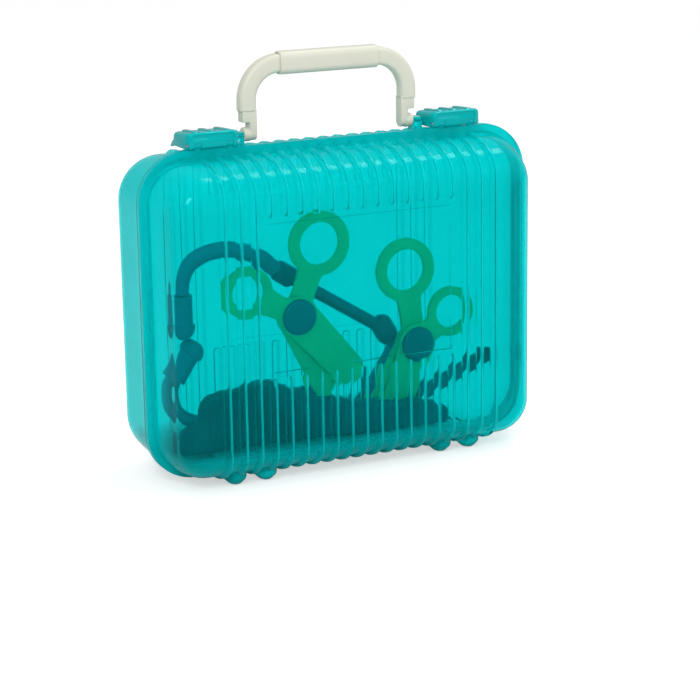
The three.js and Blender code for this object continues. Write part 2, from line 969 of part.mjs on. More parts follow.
// Domed cap as shares of its radius and height
const capShares = [[0, 0], [1, 0], [1, 0.35], [0.87, 0.7], [0.5, 0.95], [0, 1]];

// Cap whose flat side faces +y, with a rivet of a given length standing on it
function scissorCap(radius, rivet) {
  const profile = capShares.map(([across, up]) => (
    new THREE.Vector2(radius * across, -scissorCapHeight * up)
  ));
  const dome = solidOf(new THREE.LatheGeometry(profile, roundSides));
  if (rivet <= 0) {
    return dome;
  }
  const pin = new THREE.CylinderGeometry(
    scissorRivetRadius,
    scissorRivetRadius,
    rivet + seatGap,
    pinSides,
  );
  pin.translate(0, (rivet - seatGap) / 2, 0);
  return dome.add(solidOf(pin));
}

// Four pieces of one pair of scissors, the large ring on the rear half
function scissors(name, pivot, front, rear) {
  const plateY = (scissorPlate + seatGap) / 2;
  const capY = scissorPlate + seatGap + seatGap / 2;
  const rearCap = piece(`${name}_rear_cap`, scissorCap(scissorRearCap, 0), navy);
  rearCap.rotation.z = Math.PI;
  const pieces = [
    [piece(`${name}_front_half`, scissorHalf(front, scissorSmallRing, scissorSmallHole), green), -plateY],
    [piece(`${name}_rear_half`, scissorHalf(rear, scissorLargeRing, scissorLargeHole), green), plateY],
    [piece(`${name}_front_cap`, scissorCap(scissorFrontCap, 2 * capY - seatGap), navy), -capY],
    [rearCap, capY],
  ];
  for (const [mesh, y] of pieces) {
    mesh.position.set(pivot.x, pivot.y + y, pivot.z);
  }
  return pieces.map(([mesh]) => mesh);
}

// Height of a pivot whose blade tip stands just clear of the shell's floor
function standingHeight(half, y) {
  const tip = scissorTipWidth / 2;
  const drop = (half.blade - tip) * Math.cos(THREE.MathUtils.degToRad(half.bladeLean));
  return floorAt(y) + seatGap + drop + tip;
}

// Stethoscope, all in one upright plane

function tube(places, radius, steps) {
  const points = places.map(({ x, z }) => new THREE.Vector3(x, stethoscopeY, z));
  const section = new THREE.Shape();
  for (let i = 0; i < tubeSides; i += 1) {
    const angle = i / tubeSides * 2 * Math.PI;
    const point = [radius * Math.cos(angle), radius * Math.sin(angle)];
    if (i === 0) {
      section.moveTo(...point);
    } else {
      section.lineTo(...point);
    }
  }
  section.closePath();
  return solidOf(new THREE.ExtrudeGeometry(section, {
    steps,
    extrudePath: new THREE.CatmullRomCurve3(points),
    bevelEnabled: false,
  }));
}

// Revolved piece that starts at a place and leans from straight up towards +x
function turnedPiece(profile, place, lean) {
  const points = profile.map(([radius, height]) => new THREE.Vector2(radius, height));
  const geometry = new THREE.LatheGeometry(points, pinSides);
  geometry.rotateX(Math.PI / 2);
  geometry.rotateY(THREE.MathUtils.degToRad(lean));
  geometry.translate(place.x, stethoscopeY, place.z);
  return solidOf(geometry);
}

function away(place, distance, lean) {
  const step = leaning(distance, lean);
  return { x: place.x + step.x, z: place.z + step.z };
}

// Soft ear tip: a sleeve that ends in a wider bulb
function earTip(place, lean) {
  const end = tipSleeveLength + tipBulbLength;
  const bulb = tipBulbLength / 5;
  return turnedPiece([
    [0, 0],
    [tipSleeveRadius, 0],
    [tipSleeveRadius, tipSleeveLength],
    [tipBulbRadius, tipSleeveLength],
    [tipBulbRadius, tipSleeveLength + bulb],
    [tipBulbRadius - bulb, end - 2 * bulb],
    [tipBulbRadius / 2, end - bulb / 2],
    [0, end],
  ], place, lean);
}

// Stepped sleeve where the tube plugs into the arm
function collar() {
  const flare = collarRadius - upperTubeRadius;
  return turnedPiece([
    [0, 0],
    [collarRadius - flare / 2, 0],
    [collarRadius, flare],
    [collarRadius, collarLength - flare],
    [collarRadius - flare / 2, collarLength],
    [0, collarLength],
  ], away(collarPlace, -collarLength / 2, armLean), armLean);
}

// Stiff arm from the collar down to the yoke that takes the lower tube
function yoke() {
  const start = away(collarPlace, collarLength / 2 + seatGap, armLean);
  const across = yokePlace.x - start.x;
  const drop = yokePlace.z - start.z;
  const lean = THREE.MathUtils.radToDeg(Math.atan2(across, drop));
  const arm = turnedPiece([
    [0, 0],
    [armRadius, 0],
    [armRadius, Math.hypot(across, drop)],
    [0, Math.hypot(across, drop)],
  ], start, lean);
  const neck = yokeRadius - armRadius;
  const body = turnedPiece([
    [0, 0],
    [armRadius + neck / 2, 0],
    [yokeRadius, neck],
    [yokeRadius, yokeLength - neck],
    [lowerTubeRadius + neck / 2, yokeLength],
    [0, yokeLength],
  ], away(yokePlace, -yokeLength / 2, yokeLean), yokeLean);
  const fork = turnedPiece([
    [0, 0],
    [yokeForkRadius, 0],
    [yokeForkRadius, yokeForkLength],
    [0, yokeForkLength],
  ], yokePlace, yokeForkLean);
  return {
    solid: joined([arm, body, fork]),
    outlet: away(yokePlace, yokeLength / 2 + seatGap, yokeLean),
  };
}

// Bends of the tube between the first ear tip and the collar
const upperBends = [
  { x: -98.3, z: 120 },
  { x: -97.2, z: 126.5 },
  { x: -92, z: 135.6 },
  { x: -81.2, z: 141.8 },
  { x: -66, z: 143.6 },
  { x: -51.7, z: 140.6 },
  { x: -37.6, z: 133.4 },
];

function upperTube() {
  return tube([
    { x: firstTipPlace.x, z: firstTipPlace.z + seatGap },
    ...upperBends,
    away(collarPlace, -collarLength / 2 - seatGap - upperTubeRadius, armLean),
    away(collarPlace, -collarLength / 2 - seatGap, armLean),
  ], upperTubeRadius, upperTubeSteps);
}

// Bends of the tube from the second ear tip down to the floor, along it and up to the yoke
function lowerTube(outlet) {
  const rest = floorAt(stethoscopeY + lowerTubeRadius) + seatGap + lowerTubeRadius;
  return tube([
    away(secondTipPlace, -seatGap, secondTipLean),
    away(secondTipPlace, -seatGap - lowerTubeRadius, secondTipLean),
    { x: -108.6, z: 50 },
    { x: -106.8, z: 43 },
    { x: -103.2, z: 36.6 },
    { x: -96.6, z: 31.4 },
    { x: -86, z: 27.3 },
    { x: -70, z: 23.5 },
    { x: -52, z: 18.4 },
    { x: -36, z: rest + seatGap },
    { x: -24, z: rest },
    { x: 2, z: rest },
    { x: 13, z: rest + seatGap },
    { x: 27, z: 20.5 },
    { x: 38, z: 31 },
    { x: 45.6, z: 42 },
    { x: 52, z: 51 },
    { x: 56.8, z: 58.5 },
    away(outlet, lowerTubeRadius, yokeLean),
    outlet,
  ], lowerTubeRadius, lowerTubeSteps);
}

// Place of the cuff's middle where the first scissors lean against it
const cuffLeanY = firstPivot.y + scissorPlate + seatGap / 2 + seatGap + cuffThickness / 2;

// Arm cuff: a thick band on its edge, S-shaped from above, its top edge falling to the right
const cuffStations = [
  { x: -92, y: 22, top: 48 },
  { x: -88, y: 22, top: 50 },
  { x: -76, y: 22, top: 52.5 },
  { x: -62, y: 22, top: 54.8 },
  { x: -44, y: 22, top: 55.5 },
  { x: -22, y: cuffLeanY, top: 50 },
  { x: -9, y: cuffLeanY, top: 47.5 },
  { x: 1, y: cuffLeanY, top: 43.5 },
  { x: 8, y: 14.4, top: 40 },
  { x: 22, y: 11, top: 36 },
  { x: 45, y: 9.4, top: 33.8 },
  { x: 78, y: 9.4, top: 29 },
  { x: 86, y: 9.4, top: 25.5 },
];

function armCuff() {
  const foot = floorAt(cuffStations[0].y + cuffThickness / 2) + seatGap;
  const rings = cuffStations.map((station, i) => {
    const before = cuffStations[Math.max(i - 1, 0)];
    const after = cuffStations[Math.min(i + 1, cuffStations.length - 1)];
    const along = new THREE.Vector2(after.x - before.x, after.y - before.y).normalize();
    const half = cuffThickness / 2;
    const inner = half - cuffCorner / 2;
    return [
      [-inner, foot],
      [inner, foot],
      [half, foot + cuffCorner],
      [half, station.top - cuffCorner],
      [inner, station.top],
      [-inner, station.top],
      [-half, station.top - cuffCorner],
      [-half, foot + cuffCorner],
    ].map(([across, z]) => new THREE.Vector3(
      station.x - along.y * across,
      station.y + along.x * across,
      z,
    ));
  });
  return solidOf(loft(rings));
}

// Tool handle: a flat bar leaning from the floor to the right wall, both ends round
function toolHandle() {
  const radius = toolWidth / 2;
  const low = { x: toolLowX, z: floorAt(toolY + toolThickness / 2) + seatGap + radius };
  const inset = wallInset(backShape, toolY + toolThickness).side + wall;
  const high = { x: rimWidth / 2 - inset - seatGap - radius, z: toolHighZ };
  const length = Math.hypot(high.x - low.x, high.z - low.z);
  const shape = new THREE.Shape();
  shape.moveTo(0, -radius);
  shape.lineTo(length, -radius);
  shape.absarc(length, 0, radius, -Math.PI / 2, Math.PI / 2, false);
  shape.lineTo(0, radius);
  shape.absarc(0, 0, radius, Math.PI / 2, 3 * Math.PI / 2, false);
  const bar = alongY(shape, toolThickness, toolThickness / 4);
  bar.rotateY(-Math.atan2(high.z - low.z, high.x - low.x));
  bar.translate(low.x, toolY, low.z);
  return solidOf(bar);
}

// Assembly

const clearTeal = { color: 0x19c3c4, roughness: 0.15, metalness: 0, transparent: true, opacity: 0.55 };
const solidTeal = { color: 0x10b0b4, roughness: 0.25, metalness: 0 };
const offWhite = { color: 0xe2e3d8, roughness: 0.45, metalness: 0 };
const steel = { color: 0xb9bcc0, roughness: 0.3, metalness: 1 };
const green = { color: 0x3fae4a, roughness: 0.4, metalness: 0 };
const navy = { color: 0x3d3f66, roughness: 0.4, metalness: 0 };
const darkBlue = { color: 0x2b3f63, roughness: 0.5, metalness: 0 };

function piece(name, solid, finish) {
  const mesh = new THREE.Mesh(geometryOf(solid), new THREE.MeshStandardMaterial(finish));
  mesh.name = name;
  return mesh;
}

function placed(mesh, x, y, z) {
  mesh.position.set(x, y, z);
  return mesh;
}

function casePieces() {
  return [
    piece('back_shell', backShell(), clearTeal),
    piece('lid_shell', lidShell(), clearTeal),
  ];
}

// Pieces that come in mirrored pairs
function pairedPieces() {
  const pin = solidOf(hingePin());
  const latchSolid = latch();
  const latchPinSolid = solidOf(latchPin());
  const handlePinSolid = solidOf(handlePin());
  return [['left', -1], ['right', 1]].flatMap(([name, side]) => {
    const handlePinMesh = piece(`handle_pin_${name}`, handlePinSolid, offWhite);
    handlePinMesh.rotation.z = side < 0 ? Math.PI : 0;
    const latchX = side * latchSpread;
    return [
      placed(piece(`hinge_pin_${name}`, pin, steel), side * hingeSpread, 0, hingeHeight),
      placed(piece(`latch_${name}`, latchSolid, solidTeal), latchX, latchPinPlace, latchPinHeight),
      placed(piece(`latch_pin_${name}`, latchPinSolid, steel), latchX, latchPinPlace, latchPinHeight),
      placed(handlePinMesh, 0, handlePinSetback, handlePinHeight),
    ];
  });
}

function handlePieces() {
  const gripZ = handlePinHeight + handleRise - gripHeight / 2;
  return [
    placed(piece('handle_bail', handleBail(), offWhite), 0, handlePinSetback, handlePinHeight),
    placed(piece('handle_grip', handleGrip(), offWhite), 0, handlePinSetback, gripZ),
  ];
}

function stethoscopePieces() {
  const { solid, outlet } = yoke();
  return [
    piece('stethoscope_upper_tube', upperTube(), darkBlue),
    piece('stethoscope_lower_tube', lowerTube(outlet), darkBlue),
    piece('stethoscope_yoke', solid, navy),
    piece('stethoscope_collar', collar(), navy),
    piece('ear_tip_upper', earTip(firstTipPlace, 180), darkBlue),
    piece('ear_tip_lower', earTip(secondTipPlace, secondTipLean), darkBlue),
  ];
}

function contents() {
  const second = { ...secondPivot, z: standingHeight(secondFront, secondPivot.y) };
  return [
    ...scissors('scissors_a', firstPivot, firstFront, firstRear),
    ...scissors('scissors_b', second, secondFront, secondRear),
    ...stethoscopePieces(),
    piece('arm_cuff', armCuff(), darkBlue),
    piece('tool_handle', toolHandle(), darkBlue),
  ];
}

const group = new THREE.Group();
group.name = 'toy_doctor_case';
group.add(...casePieces(), ...pairedPieces(), ...handlePieces(), ...contents());
group.position.y = wholeDepthShift;

export default group;
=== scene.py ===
import sys

import logging
import math
from dataclasses import dataclass, field
from enum import Enum

import bmesh
import bpy
from mathutils import Matrix, Vector


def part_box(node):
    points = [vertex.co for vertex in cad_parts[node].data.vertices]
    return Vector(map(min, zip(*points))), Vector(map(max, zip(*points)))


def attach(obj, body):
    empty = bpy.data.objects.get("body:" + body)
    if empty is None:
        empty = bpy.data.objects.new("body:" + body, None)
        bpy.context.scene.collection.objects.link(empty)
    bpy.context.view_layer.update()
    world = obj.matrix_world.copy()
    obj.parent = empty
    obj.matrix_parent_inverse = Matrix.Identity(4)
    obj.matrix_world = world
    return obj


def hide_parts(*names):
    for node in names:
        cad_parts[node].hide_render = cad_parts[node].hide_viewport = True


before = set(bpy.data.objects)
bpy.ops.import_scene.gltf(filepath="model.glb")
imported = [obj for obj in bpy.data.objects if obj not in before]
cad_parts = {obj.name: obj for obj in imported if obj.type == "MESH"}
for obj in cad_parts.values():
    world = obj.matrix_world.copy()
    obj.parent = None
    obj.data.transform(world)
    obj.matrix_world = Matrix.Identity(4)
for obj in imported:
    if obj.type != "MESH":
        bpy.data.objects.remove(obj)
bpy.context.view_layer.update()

LOG = logging.getLogger("toy_doctor_case")

Point = tuple[float, float, float]
Pair = tuple[float, float]
Colour = tuple[float, float, float]
Face = tuple[int, ...]

MILLIMETRE = 0.001
DEPTH_SHIFT = -9.9
WELD = 0.000002
SHARP_EDGE = 38
FLAT_ENOUGH = 0.5


def row(point: Point) -> Vector:
    """Turns a place in the case's own millimetres into metres in the row frame.

    Args:
        point: x, y and z in millimetres, y counted from the parting plane.

    Returns:
        The same place in the row frame.
    """
    x, y, z = point
    return Vector((x, y + DEPTH_SHIFT, z)) * MILLIMETRE


def spaced(start: float, end: float, count: int) -> list[float]:
    """Evenly spaced values from start to end."""
    return [start + (end - start) * i / (count - 1) for i in range(count)]


def leaning(distance: float, degrees: float) -> Pair:
    """Step in (x, z) along a direction that leans from straight up towards +x."""
    angle = math.radians(degrees)
    return distance * math.sin(angle), distance * math.cos(angle)


# Skins and meshes


class Skin:
    """Faces of one closed form, gathered in millimetres before they become a mesh."""

    def __init__(self) -> None:
        """Starts with nothing in it."""
        self.points: list[Point] = []
        self.faces: list[Face] = []

    def add(self, points: list[Point]) -> list[int]:
        """Adds points and tells their numbers.

        Args:
            points: Places in millimetres.

        Returns:
            The number of each point, in the same order.
        """
        first = len(self.points)
        self.points.extend(points)
        return list(range(first, first + len(points)))

    def strip(self, near: list[int], far: list[int], closed: bool = True) -> None:
        """Joins two rows of points with quads.

        Args:
            near: Numbers of the first row.
            far: Numbers of the second row, as many as the first.
            closed: Whether the last point joins the first.
        """
        count = len(near)
        for i in range(count if closed else count - 1):
            j = (i + 1) % count
            self.faces.append((near[i], near[j], far[j], far[i]))

    def rings(
        self, rings: list[list[Point]], closed: bool = True, caps: bool = True,
        around: bool = False,
    ) -> None:
        """Lofts rows of equally many points.

        Args:
            rings: The rows, in order.
            closed: Whether each row is a closed ring.
            caps: Whether a flat face closes each end.
            around: Whether the last row joins the first.
        """
        rows = [self.add(ring) for ring in rings]
        for near, far in zip(rows, rows[1:] + rows[:1] if around else rows[1:]):
            self.strip(near, far, closed)
        if caps:
            self.faces.append(tuple(reversed(rows[0])))
            self.faces.append(tuple(rows[-1]))

    def mesh(self, name: str) -> bpy.types.Mesh:
        """Makes the mesh in metres, welded, with every face turned outward.

        Args:
            name: Name of the mesh.

        Returns:
            The finished mesh.
        """
        mesh = bpy.data.meshes.new(name)
        mesh.from_pydata([row(p) for p in self.points], [], self.faces)
        return tidied(mesh)


def tidied(mesh: bpy.types.Mesh) -> bpy.types.Mesh:
    """Welds a mesh's doubles, drops empty faces and turns all faces outward.

    Args:
        mesh: The mesh, changed in place.

    Returns:
        The same mesh.
    """
    bm = bmesh.new()
    bm.from_mesh(mesh)
    bmesh.ops.remove_doubles(bm, verts=bm.verts, dist=WELD)
    bmesh.ops.dissolve_degenerate(bm, edges=bm.edges, dist=WELD)
    bmesh.ops.recalc_face_normals(bm, faces=bm.faces)
    bm.to_mesh(mesh)
    bm.free()
    return mesh


def linked(name: str, data: bpy.types.ID) -> bpy.types.Object:
    """Makes an object and links it into the scene.

    Args:
        name: Name of the object.
        data: Its mesh, curve, lamp or camera.

    Returns:
        The object.
    """
    obj = bpy.data.objects.new(name, data)
    bpy.context.scene.collection.objects.link(obj)
    return obj


def assembled(name: str, meshes: list[bpy.types.Mesh], sharp: float = 40) -> bpy.types.Object:
    """Joins meshes into one object at the origin, smooth except at sharp edges.

    Args:
        name: Name of the piece.
        meshes: The meshes, used up here.
        sharp: Angle in degrees above which an edge stays sharp.

    Returns:
        The new object, linked into the scene.
    """
    bm = bmesh.new()
    for mesh in meshes:
        bm.from_mesh(mesh)
        bpy.data.meshes.remove(mesh)
    whole = bpy.data.meshes.new(name)
    bm.to_mesh(whole)
    bm.free()
    whole.materials.clear()
    for polygon in whole.polygons:
        polygon.use_smooth = True
        polygon.material_index = 0
    whole.set_sharp_from_angle(angle=math.radians(sharp))
    return linked(name, whole)


def evaluated(obj: bpy.types.Object) -> bpy.types.Mesh:
    """Takes an object's mesh with its modifiers applied and removes the object.

    Args:
        obj: A helper object.

    Returns:
        The plain mesh.
    """
    graph = bpy.context.evaluated_depsgraph_get()
    mesh = bpy.data.meshes.new_from_object(obj.evaluated_get(graph))
    bpy.data.objects.remove(obj)
    return mesh


def bevelled(mesh: bpy.types.Mesh, width: float, segments: int = 3) -> bpy.types.Mesh:
    """Rounds the sharp edges of a mesh.

    Args:
        mesh: A closed mesh.
        width: Width of the rounding in millimetres.
        segments: Facets across the rounding.

    Returns:
        A new mesh.
    """
    obj = linked("rounding", mesh)
    modifier = obj.modifiers.new("rounding", "BEVEL")
    modifier.width = width * MILLIMETRE
    modifier.segments = segments
    modifier.limit_method = "ANGLE"
    modifier.angle_limit = math.radians(SHARP_EDGE)
    modifier.use_clamp_overlap = True
    return evaluated(obj)


def united(meshes: list[bpy.types.Mesh], holes: list[bpy.types.Mesh]) -> bpy.types.Mesh:
    """Joins solids into one and cuts others out of it.

    Args:
        meshes: Solids that overlap.
        holes: Solids to cut away.

    Returns:
        The resulting solid.
    """
    body = linked("body", meshes[0])
    tools = []
    for operation, group in (("UNION", meshes[1:]), ("DIFFERENCE", holes)):
        for mesh in group:
            tool = linked("tool", mesh)
            tools.append(tool)
            modifier = body.modifiers.new("cut", "BOOLEAN")
            modifier.operation = operation
            modifier.solver = "EXACT"
            modifier.object = tool
    mesh = evaluated(body)
    for tool in tools:
        bpy.data.objects.remove(tool)
    bm = bmesh.new()
    bm.from_mesh(mesh)
    bmesh.ops.remove_doubles(bm, verts=bm.verts, dist=WELD)
    bmesh.ops.dissolve_limit(
        bm, angle_limit=math.radians(FLAT_ENOUGH), verts=bm.verts, edges=bm.edges,
        delimit={"NORMAL"},
    )
    bm.to_mesh(mesh)
    bm.free()
    return mesh


def lofted(
    name: str, rings: list[list[Point]], caps: bool = True, around: bool = False
) -> bpy.types.Mesh:
    """Lofts closed rings of equally many points into one form.

    Args:
        name: Name of the mesh.
        rings: The rings, in order.
        caps: Whether a flat face closes each end.
        around: Whether the last ring joins the first.

    Returns:
        The mesh.
    """
    skin = Skin()
    skin.rings(rings, True, caps, around)
    return skin.mesh(name)


def turned(profile: list[Pair], sides: int, start: Point, direction: Vector) -> bpy.types.Mesh:
    """Turns a profile about an axis, as on a lathe.

    Args:
        profile: Radius and distance along the axis, starting and ending at radius 0.
        sides: Facets round the axis.
        start: Place of distance 0, in millimetres.
        direction: Direction of the axis.

    Returns:
        The closed mesh.
    """
    axis = direction.normalized()
    across = axis.orthogonal().normalized()
    other = axis.cross(across)
    origin = Vector(start)
    rings = []
    for radius, along in profile:
        ring = []
        for i in range(sides):
            angle = 2 * math.pi * i / sides
            offset = across * math.cos(angle) + other * math.sin(angle)
            ring.append(tuple(origin + axis * along + offset * max(radius, 0.0001)))
        rings.append(ring)
    return lofted("turned", rings)


def rounded_profile(corners: list[tuple[float, float, float]], steps: int = 4) -> list[Pair]:
    """Rounds the corners of a profile.

    Args:
        corners: Radius, distance along the axis and rounding at each corner.
        steps: Points on each rounding.

    Returns:
        The profile's points.
    """
    points: list[Pair] = []
    for i, (x, y, rounding) in enumerate(corners):
        if rounding <= 0 or i in (0, len(corners) - 1):
            points.append((x, y))
            continue
        here = Vector((x, y))
        before = Vector(corners[i - 1][:2]) - here
        after = Vector(corners[i + 1][:2]) - here
        start = here + before.normalized() * min(rounding, before.length / 2)
        end = here + after.normalized() * min(rounding, after.length / 2)
        for k in range(steps + 1):
            t = k / steps
            bend = start * (1 - t) ** 2 + here * 2 * t * (1 - t) + end * t ** 2
            points.append((bend.x, bend.y))
    return points


def extruded(outline: list[Pair], low: float, high: float, across: str) -> bpy.types.Mesh:
    """Extrudes a flat outline.

    Args:
        outline: Points of the outline, in (y, z) for x and in (x, z) for y.
        low: Start of the extrusion in millimetres.
        high: End of the extrusion.
        across: Axis of the extrusion, x or y.

    Returns:
        The closed mesh.
    """
    def place(a: float, b: float, at: float) -> Point:
        """Point of the outline at one end of the extrusion."""
        return (at, a, b) if across == "x" else (a, at, b)

    return lofted("extruded", [[place(a, b, at) for a, b in outline] for at in (low, high)])


def circle(centre: Pair, radius: float, sides: int = 64) -> list[Pair]:
    """Outline of a circle."""
    turns = [2 * math.pi * i / sides for i in range(sides)]
    return [(centre[0] + radius * math.cos(a), centre[1] + radius * math.sin(a)) for a in turns]


def arc(centre: Pair, radius: float, start: float, end: float, count: int) -> list[Pair]:
    """Points on a part of a circle, between two angles in radians."""
    turns = spaced(start, end, count)
    return [(centre[0] + radius * math.cos(a), centre[1] + radius * math.sin(a)) for a in turns]


def rectangle(low: Pair, high: Pair) -> list[Pair]:
    """Outline of a rectangle between two opposite corners."""
    return [low, (high[0], low[1]), high, (low[0], high[1])]


def rounded_box(half_a: float, half_b: float, radius: float, steps: int = 5) -> list[Pair]:
    """Outline of a rounded rectangle about the origin.

    Args:
        half_a: Half of its first side.
        half_b: Half of its second side.
        radius: Its corner radius.
        steps: Facets on each corner.

    Returns:
        The outline's points, anticlockwise.
    """
    points = []
    for quarter, (sign_a, sign_b) in enumerate(((1, 1), (-1, 1), (-1, -1), (1, -1))):
        for i in range(steps + 1):
            angle = (quarter + i / steps) * math.pi / 2
            points.append((
                sign_a * (half_a - radius) + radius * math.cos(angle),
                sign_b * (half_b - radius) + radius * math.sin(angle),
            ))
    return points


# Node trees


class Wiring:
    """Adds nodes to a node tree and links them."""

    def __init__(self, tree: bpy.types.NodeTree) -> None:
        """Takes the tree to work on."""
        self.tree = tree

    def feed(self, socket: bpy.types.NodeSocket, value: object) -> None:
        """Gives an input its value, or links it where the value is an output.

        Args:
            socket: The input.
            value: The value or the output.
        """
        if isinstance(value, bpy.types.NodeSocket):
            self.tree.links.new(value, socket)
        else:
            socket.default_value = value

    def node(
        self, kind: str, inputs: dict[str | int, object] | None = None, **settings: object
    ) -> bpy.types.Node:
        """Adds a node.

        Args:
            kind: Its type.
            inputs: Values and outputs to feed into it, by name or number.
            **settings: Attributes to set on it.

        Returns:
            The node.
        """
        made = self.tree.nodes.new(kind)
        for name, value in settings.items():
            setattr(made, name, value)
        for key, value in (inputs or {}).items():
            self.feed(made.inputs[key], value)
        return made


class FormTree(Wiring):
    """A geometry node tree with named inputs."""

    def __init__(self, name: str) -> None:
        """Makes an empty tree with a geometry input and output.

        Args:
            name: Name of the tree.
        """
        super().__init__(bpy.data.node_groups.new(name, "GeometryNodeTree"))
        for way in ("INPUT", "OUTPUT"):
            self.tree.interface.new_socket(
                "Geometry", in_out=way, socket_type="NodeSocketGeometry"
            )
        self.start = self.node("NodeGroupInput")
        self.end = self.node("NodeGroupOutput")
        self.inputs: dict[str, str] = {}

    def named(self, name: str, kind: str) -> bpy.types.NodeSocket:
        """Adds a named input.

        Args:
            name: Its name.
            kind: Its socket type.

        Returns:
            The socket that gives its value inside the tree.
        """
        socket = self.tree.interface.new_socket(name, in_out="INPUT", socket_type=kind)
        self.inputs[name] = socket.identifier
        return self.start.outputs[name]

    def finish(self, geometry: bpy.types.NodeSocket) -> None:
        """Ends the tree in Realize Instances, smooth shading and Set Material.

        Args:
            geometry: The geometry to hand out.
        """
        for kind in ("GeometryNodeRealizeInstances", "GeometryNodeSetShadeSmooth"):
            geometry = self.node(kind, {"Geometry": geometry}).outputs["Geometry"]
        material = self.named("Material", "NodeSocketMaterial")
        dressed = self.node(
            "GeometryNodeSetMaterial", {"Geometry": geometry, "Material": material}
        )
        self.feed(self.end.inputs["Geometry"], dressed.outputs["Geometry"])

    def apply(self, obj: bpy.types.Object, **values: object) -> bpy.types.Mesh:
        """Runs the tree on a helper object.

        Args:
            obj: The helper, removed afterwards.
            **values: Value of each named input.

        Returns:
            The plain mesh.
        """
        modifier = obj.modifiers.new(self.tree.name, "NODES")
        modifier.node_group = self.tree
        for name, value in values.items():
            modifier[self.inputs[name]] = value
        obj.update_tag()
        return evaluated(obj)


class TubeTree(FormTree):
    """Sweeps a round section along a path."""

    def __init__(self) -> None:
        """Builds the tree."""
        super().__init__("tube_along_path")
        section = self.node("GeometryNodeCurvePrimitiveCircle", {
            "Radius": self.named("Radius", "NodeSocketFloat"),
            "Resolution": self.named("Sides", "NodeSocketInt"),
        })
        sweep = self.node("GeometryNodeCurveToMesh", {
            "Curve": self.start.outputs["Geometry"],
            "Profile Curve": section.outputs["Curve"],
            "Fill Caps": True,
        })
        self.finish(sweep.outputs["Mesh"])

    def tube(self, path: list[Point], radius: float, sides: int) -> bpy.types.Mesh:
        """Makes a tube on a path.

        Args:
            path: Points of the path in millimetres.
            radius: Radius of the tube in millimetres.
            sides: Facets round it.

        Returns:
            The closed mesh.
        """
        curve = bpy.data.curves.new("path", "CURVE")
        curve.dimensions = "3D"
        spline = curve.splines.new("POLY")
        spline.points.add(len(path) - 1)
        for target, place in zip(spline.points, path):
            target.co = (*row(place), 1)
        return self.apply(linked("path", curve), Radius=radius * MILLIMETRE, Sides=sides)


class RowTree(FormTree):
    """Repeats one form in a straight, evenly pitched row."""

    def __init__(self) -> None:
        """Builds the tree."""
        super().__init__("row_of_copies")
        line = self.node("GeometryNodeMeshLine", mode="OFFSET")
        for socket, name, kind in (
            ("Count", "Count", "Int"), ("Offset", "Pitch", "Vector"),
            ("Start Location", "Start", "Vector"),
        ):
            self.feed(line.inputs[socket], self.named(name, f"NodeSocket{kind}"))
        copies = self.node("GeometryNodeInstanceOnPoints", {
            "Points": line.outputs["Mesh"], "Instance": self.start.outputs["Geometry"],
        })
        self.finish(copies.outputs["Instances"])

    def repeat(
        self, mesh: bpy.types.Mesh, count: int, start: float, pitch: float
    ) -> bpy.types.Mesh:
        """Repeats a mesh along x.

        Args:
            mesh: The form, drawn at x = 0.
            count: How many copies.
            start: x of the first copy in millimetres.
            pitch: Step to the next copy in millimetres.

        Returns:
            All copies as one mesh.
        """
        return self.apply(
            linked("form", mesh),
            Count=count,
            Pitch=(pitch * MILLIMETRE, 0.0, 0.0),
            Start=(start * MILLIMETRE, 0.0, 0.0),
        )


class ShaderWiring(Wiring):
    """Adds the nodes that materials and the world are made of."""

    def place(self) -> bpy.types.NodeSocket:
        """The place on the piece, in object coordinates."""
        return self.node("ShaderNodeTexCoord").outputs["Object"]

    def noise(self, scale: float, detail: float) -> bpy.types.NodeSocket:
        """A noise on object coordinates."""
        inputs = {"Vector": self.place(), "Scale": scale, "Detail": detail}
        return self.node("ShaderNodeTexNoise", inputs).outputs["Fac"]

    def computed(self, operation: str, *values: object) -> bpy.types.NodeSocket:
        """Result of a calculation on values or outputs."""
        made = self.node("ShaderNodeMath", dict(enumerate(values)), operation=operation)
        return made.outputs[0]

    def ramp(
        self, source: bpy.types.NodeSocket, given: Pair = (0, 1), wanted: Pair = (0, 1)
    ) -> bpy.types.NodeSocket:
        """Carries a value over to another range and keeps it inside."""
        ends = zip(("From Min", "From Max", "To Min", "To Max"), (*given, *wanted))
        return self.node("ShaderNodeMapRange", {"Value": source, **dict(ends)}).outputs[0]

    def blended(
        self, share: bpy.types.NodeSocket, first: object, second: object
    ) -> bpy.types.NodeSocket:
        """Colour between a first and a second one, by the share of the second."""
        inputs = {"Factor": share, "A": first, "B": second}
        return self.node("ShaderNodeMix", inputs, data_type="RGBA").outputs["Result"]

    def choice(
        self, share: bpy.types.NodeSocket, first: bpy.types.Node, second: bpy.types.Node
    ) -> bpy.types.NodeSocket:
        """Mix of a first and a second shader, by the share of the second."""
        inputs = {"Fac": share, 1: first.outputs[0], 2: second.outputs[0]}
        return self.node("ShaderNodeMixShader", inputs).outputs[0]


class MaterialWiring(ShaderWiring):
    """A new material and its Principled shader."""

    def __init__(self, name: str, values: dict[str, object]) -> None:
        """Makes the material.

        Args:
            name: Its name.
            values: Plain values on the shader's own sockets.
        """
        self.material = bpy.data.materials.new(name)
        self.material.use_nodes = True
        super().__init__(self.material.node_tree)
        self.shader = self.tree.nodes["Principled BSDF"]
        for socket, value in values.items():
            self.shader.inputs[socket].default_value = value


# Finishes


BLOTCHES = (22, 4)
WEAR = (90, 6)
GRAIN_DETAIL = 3


class Grain(Enum):
    """Surface grain of a moulded piece: bump strength, scale and depth in metres."""

    POLISHED = (0.1, 60.0, 0.0004)
    SATIN = (0.25, 2600.0, 0.00003)
    MATT = (0.4, 1800.0, 0.00004)
    WOVEN = (0.2, 1500.0, 0.00006)


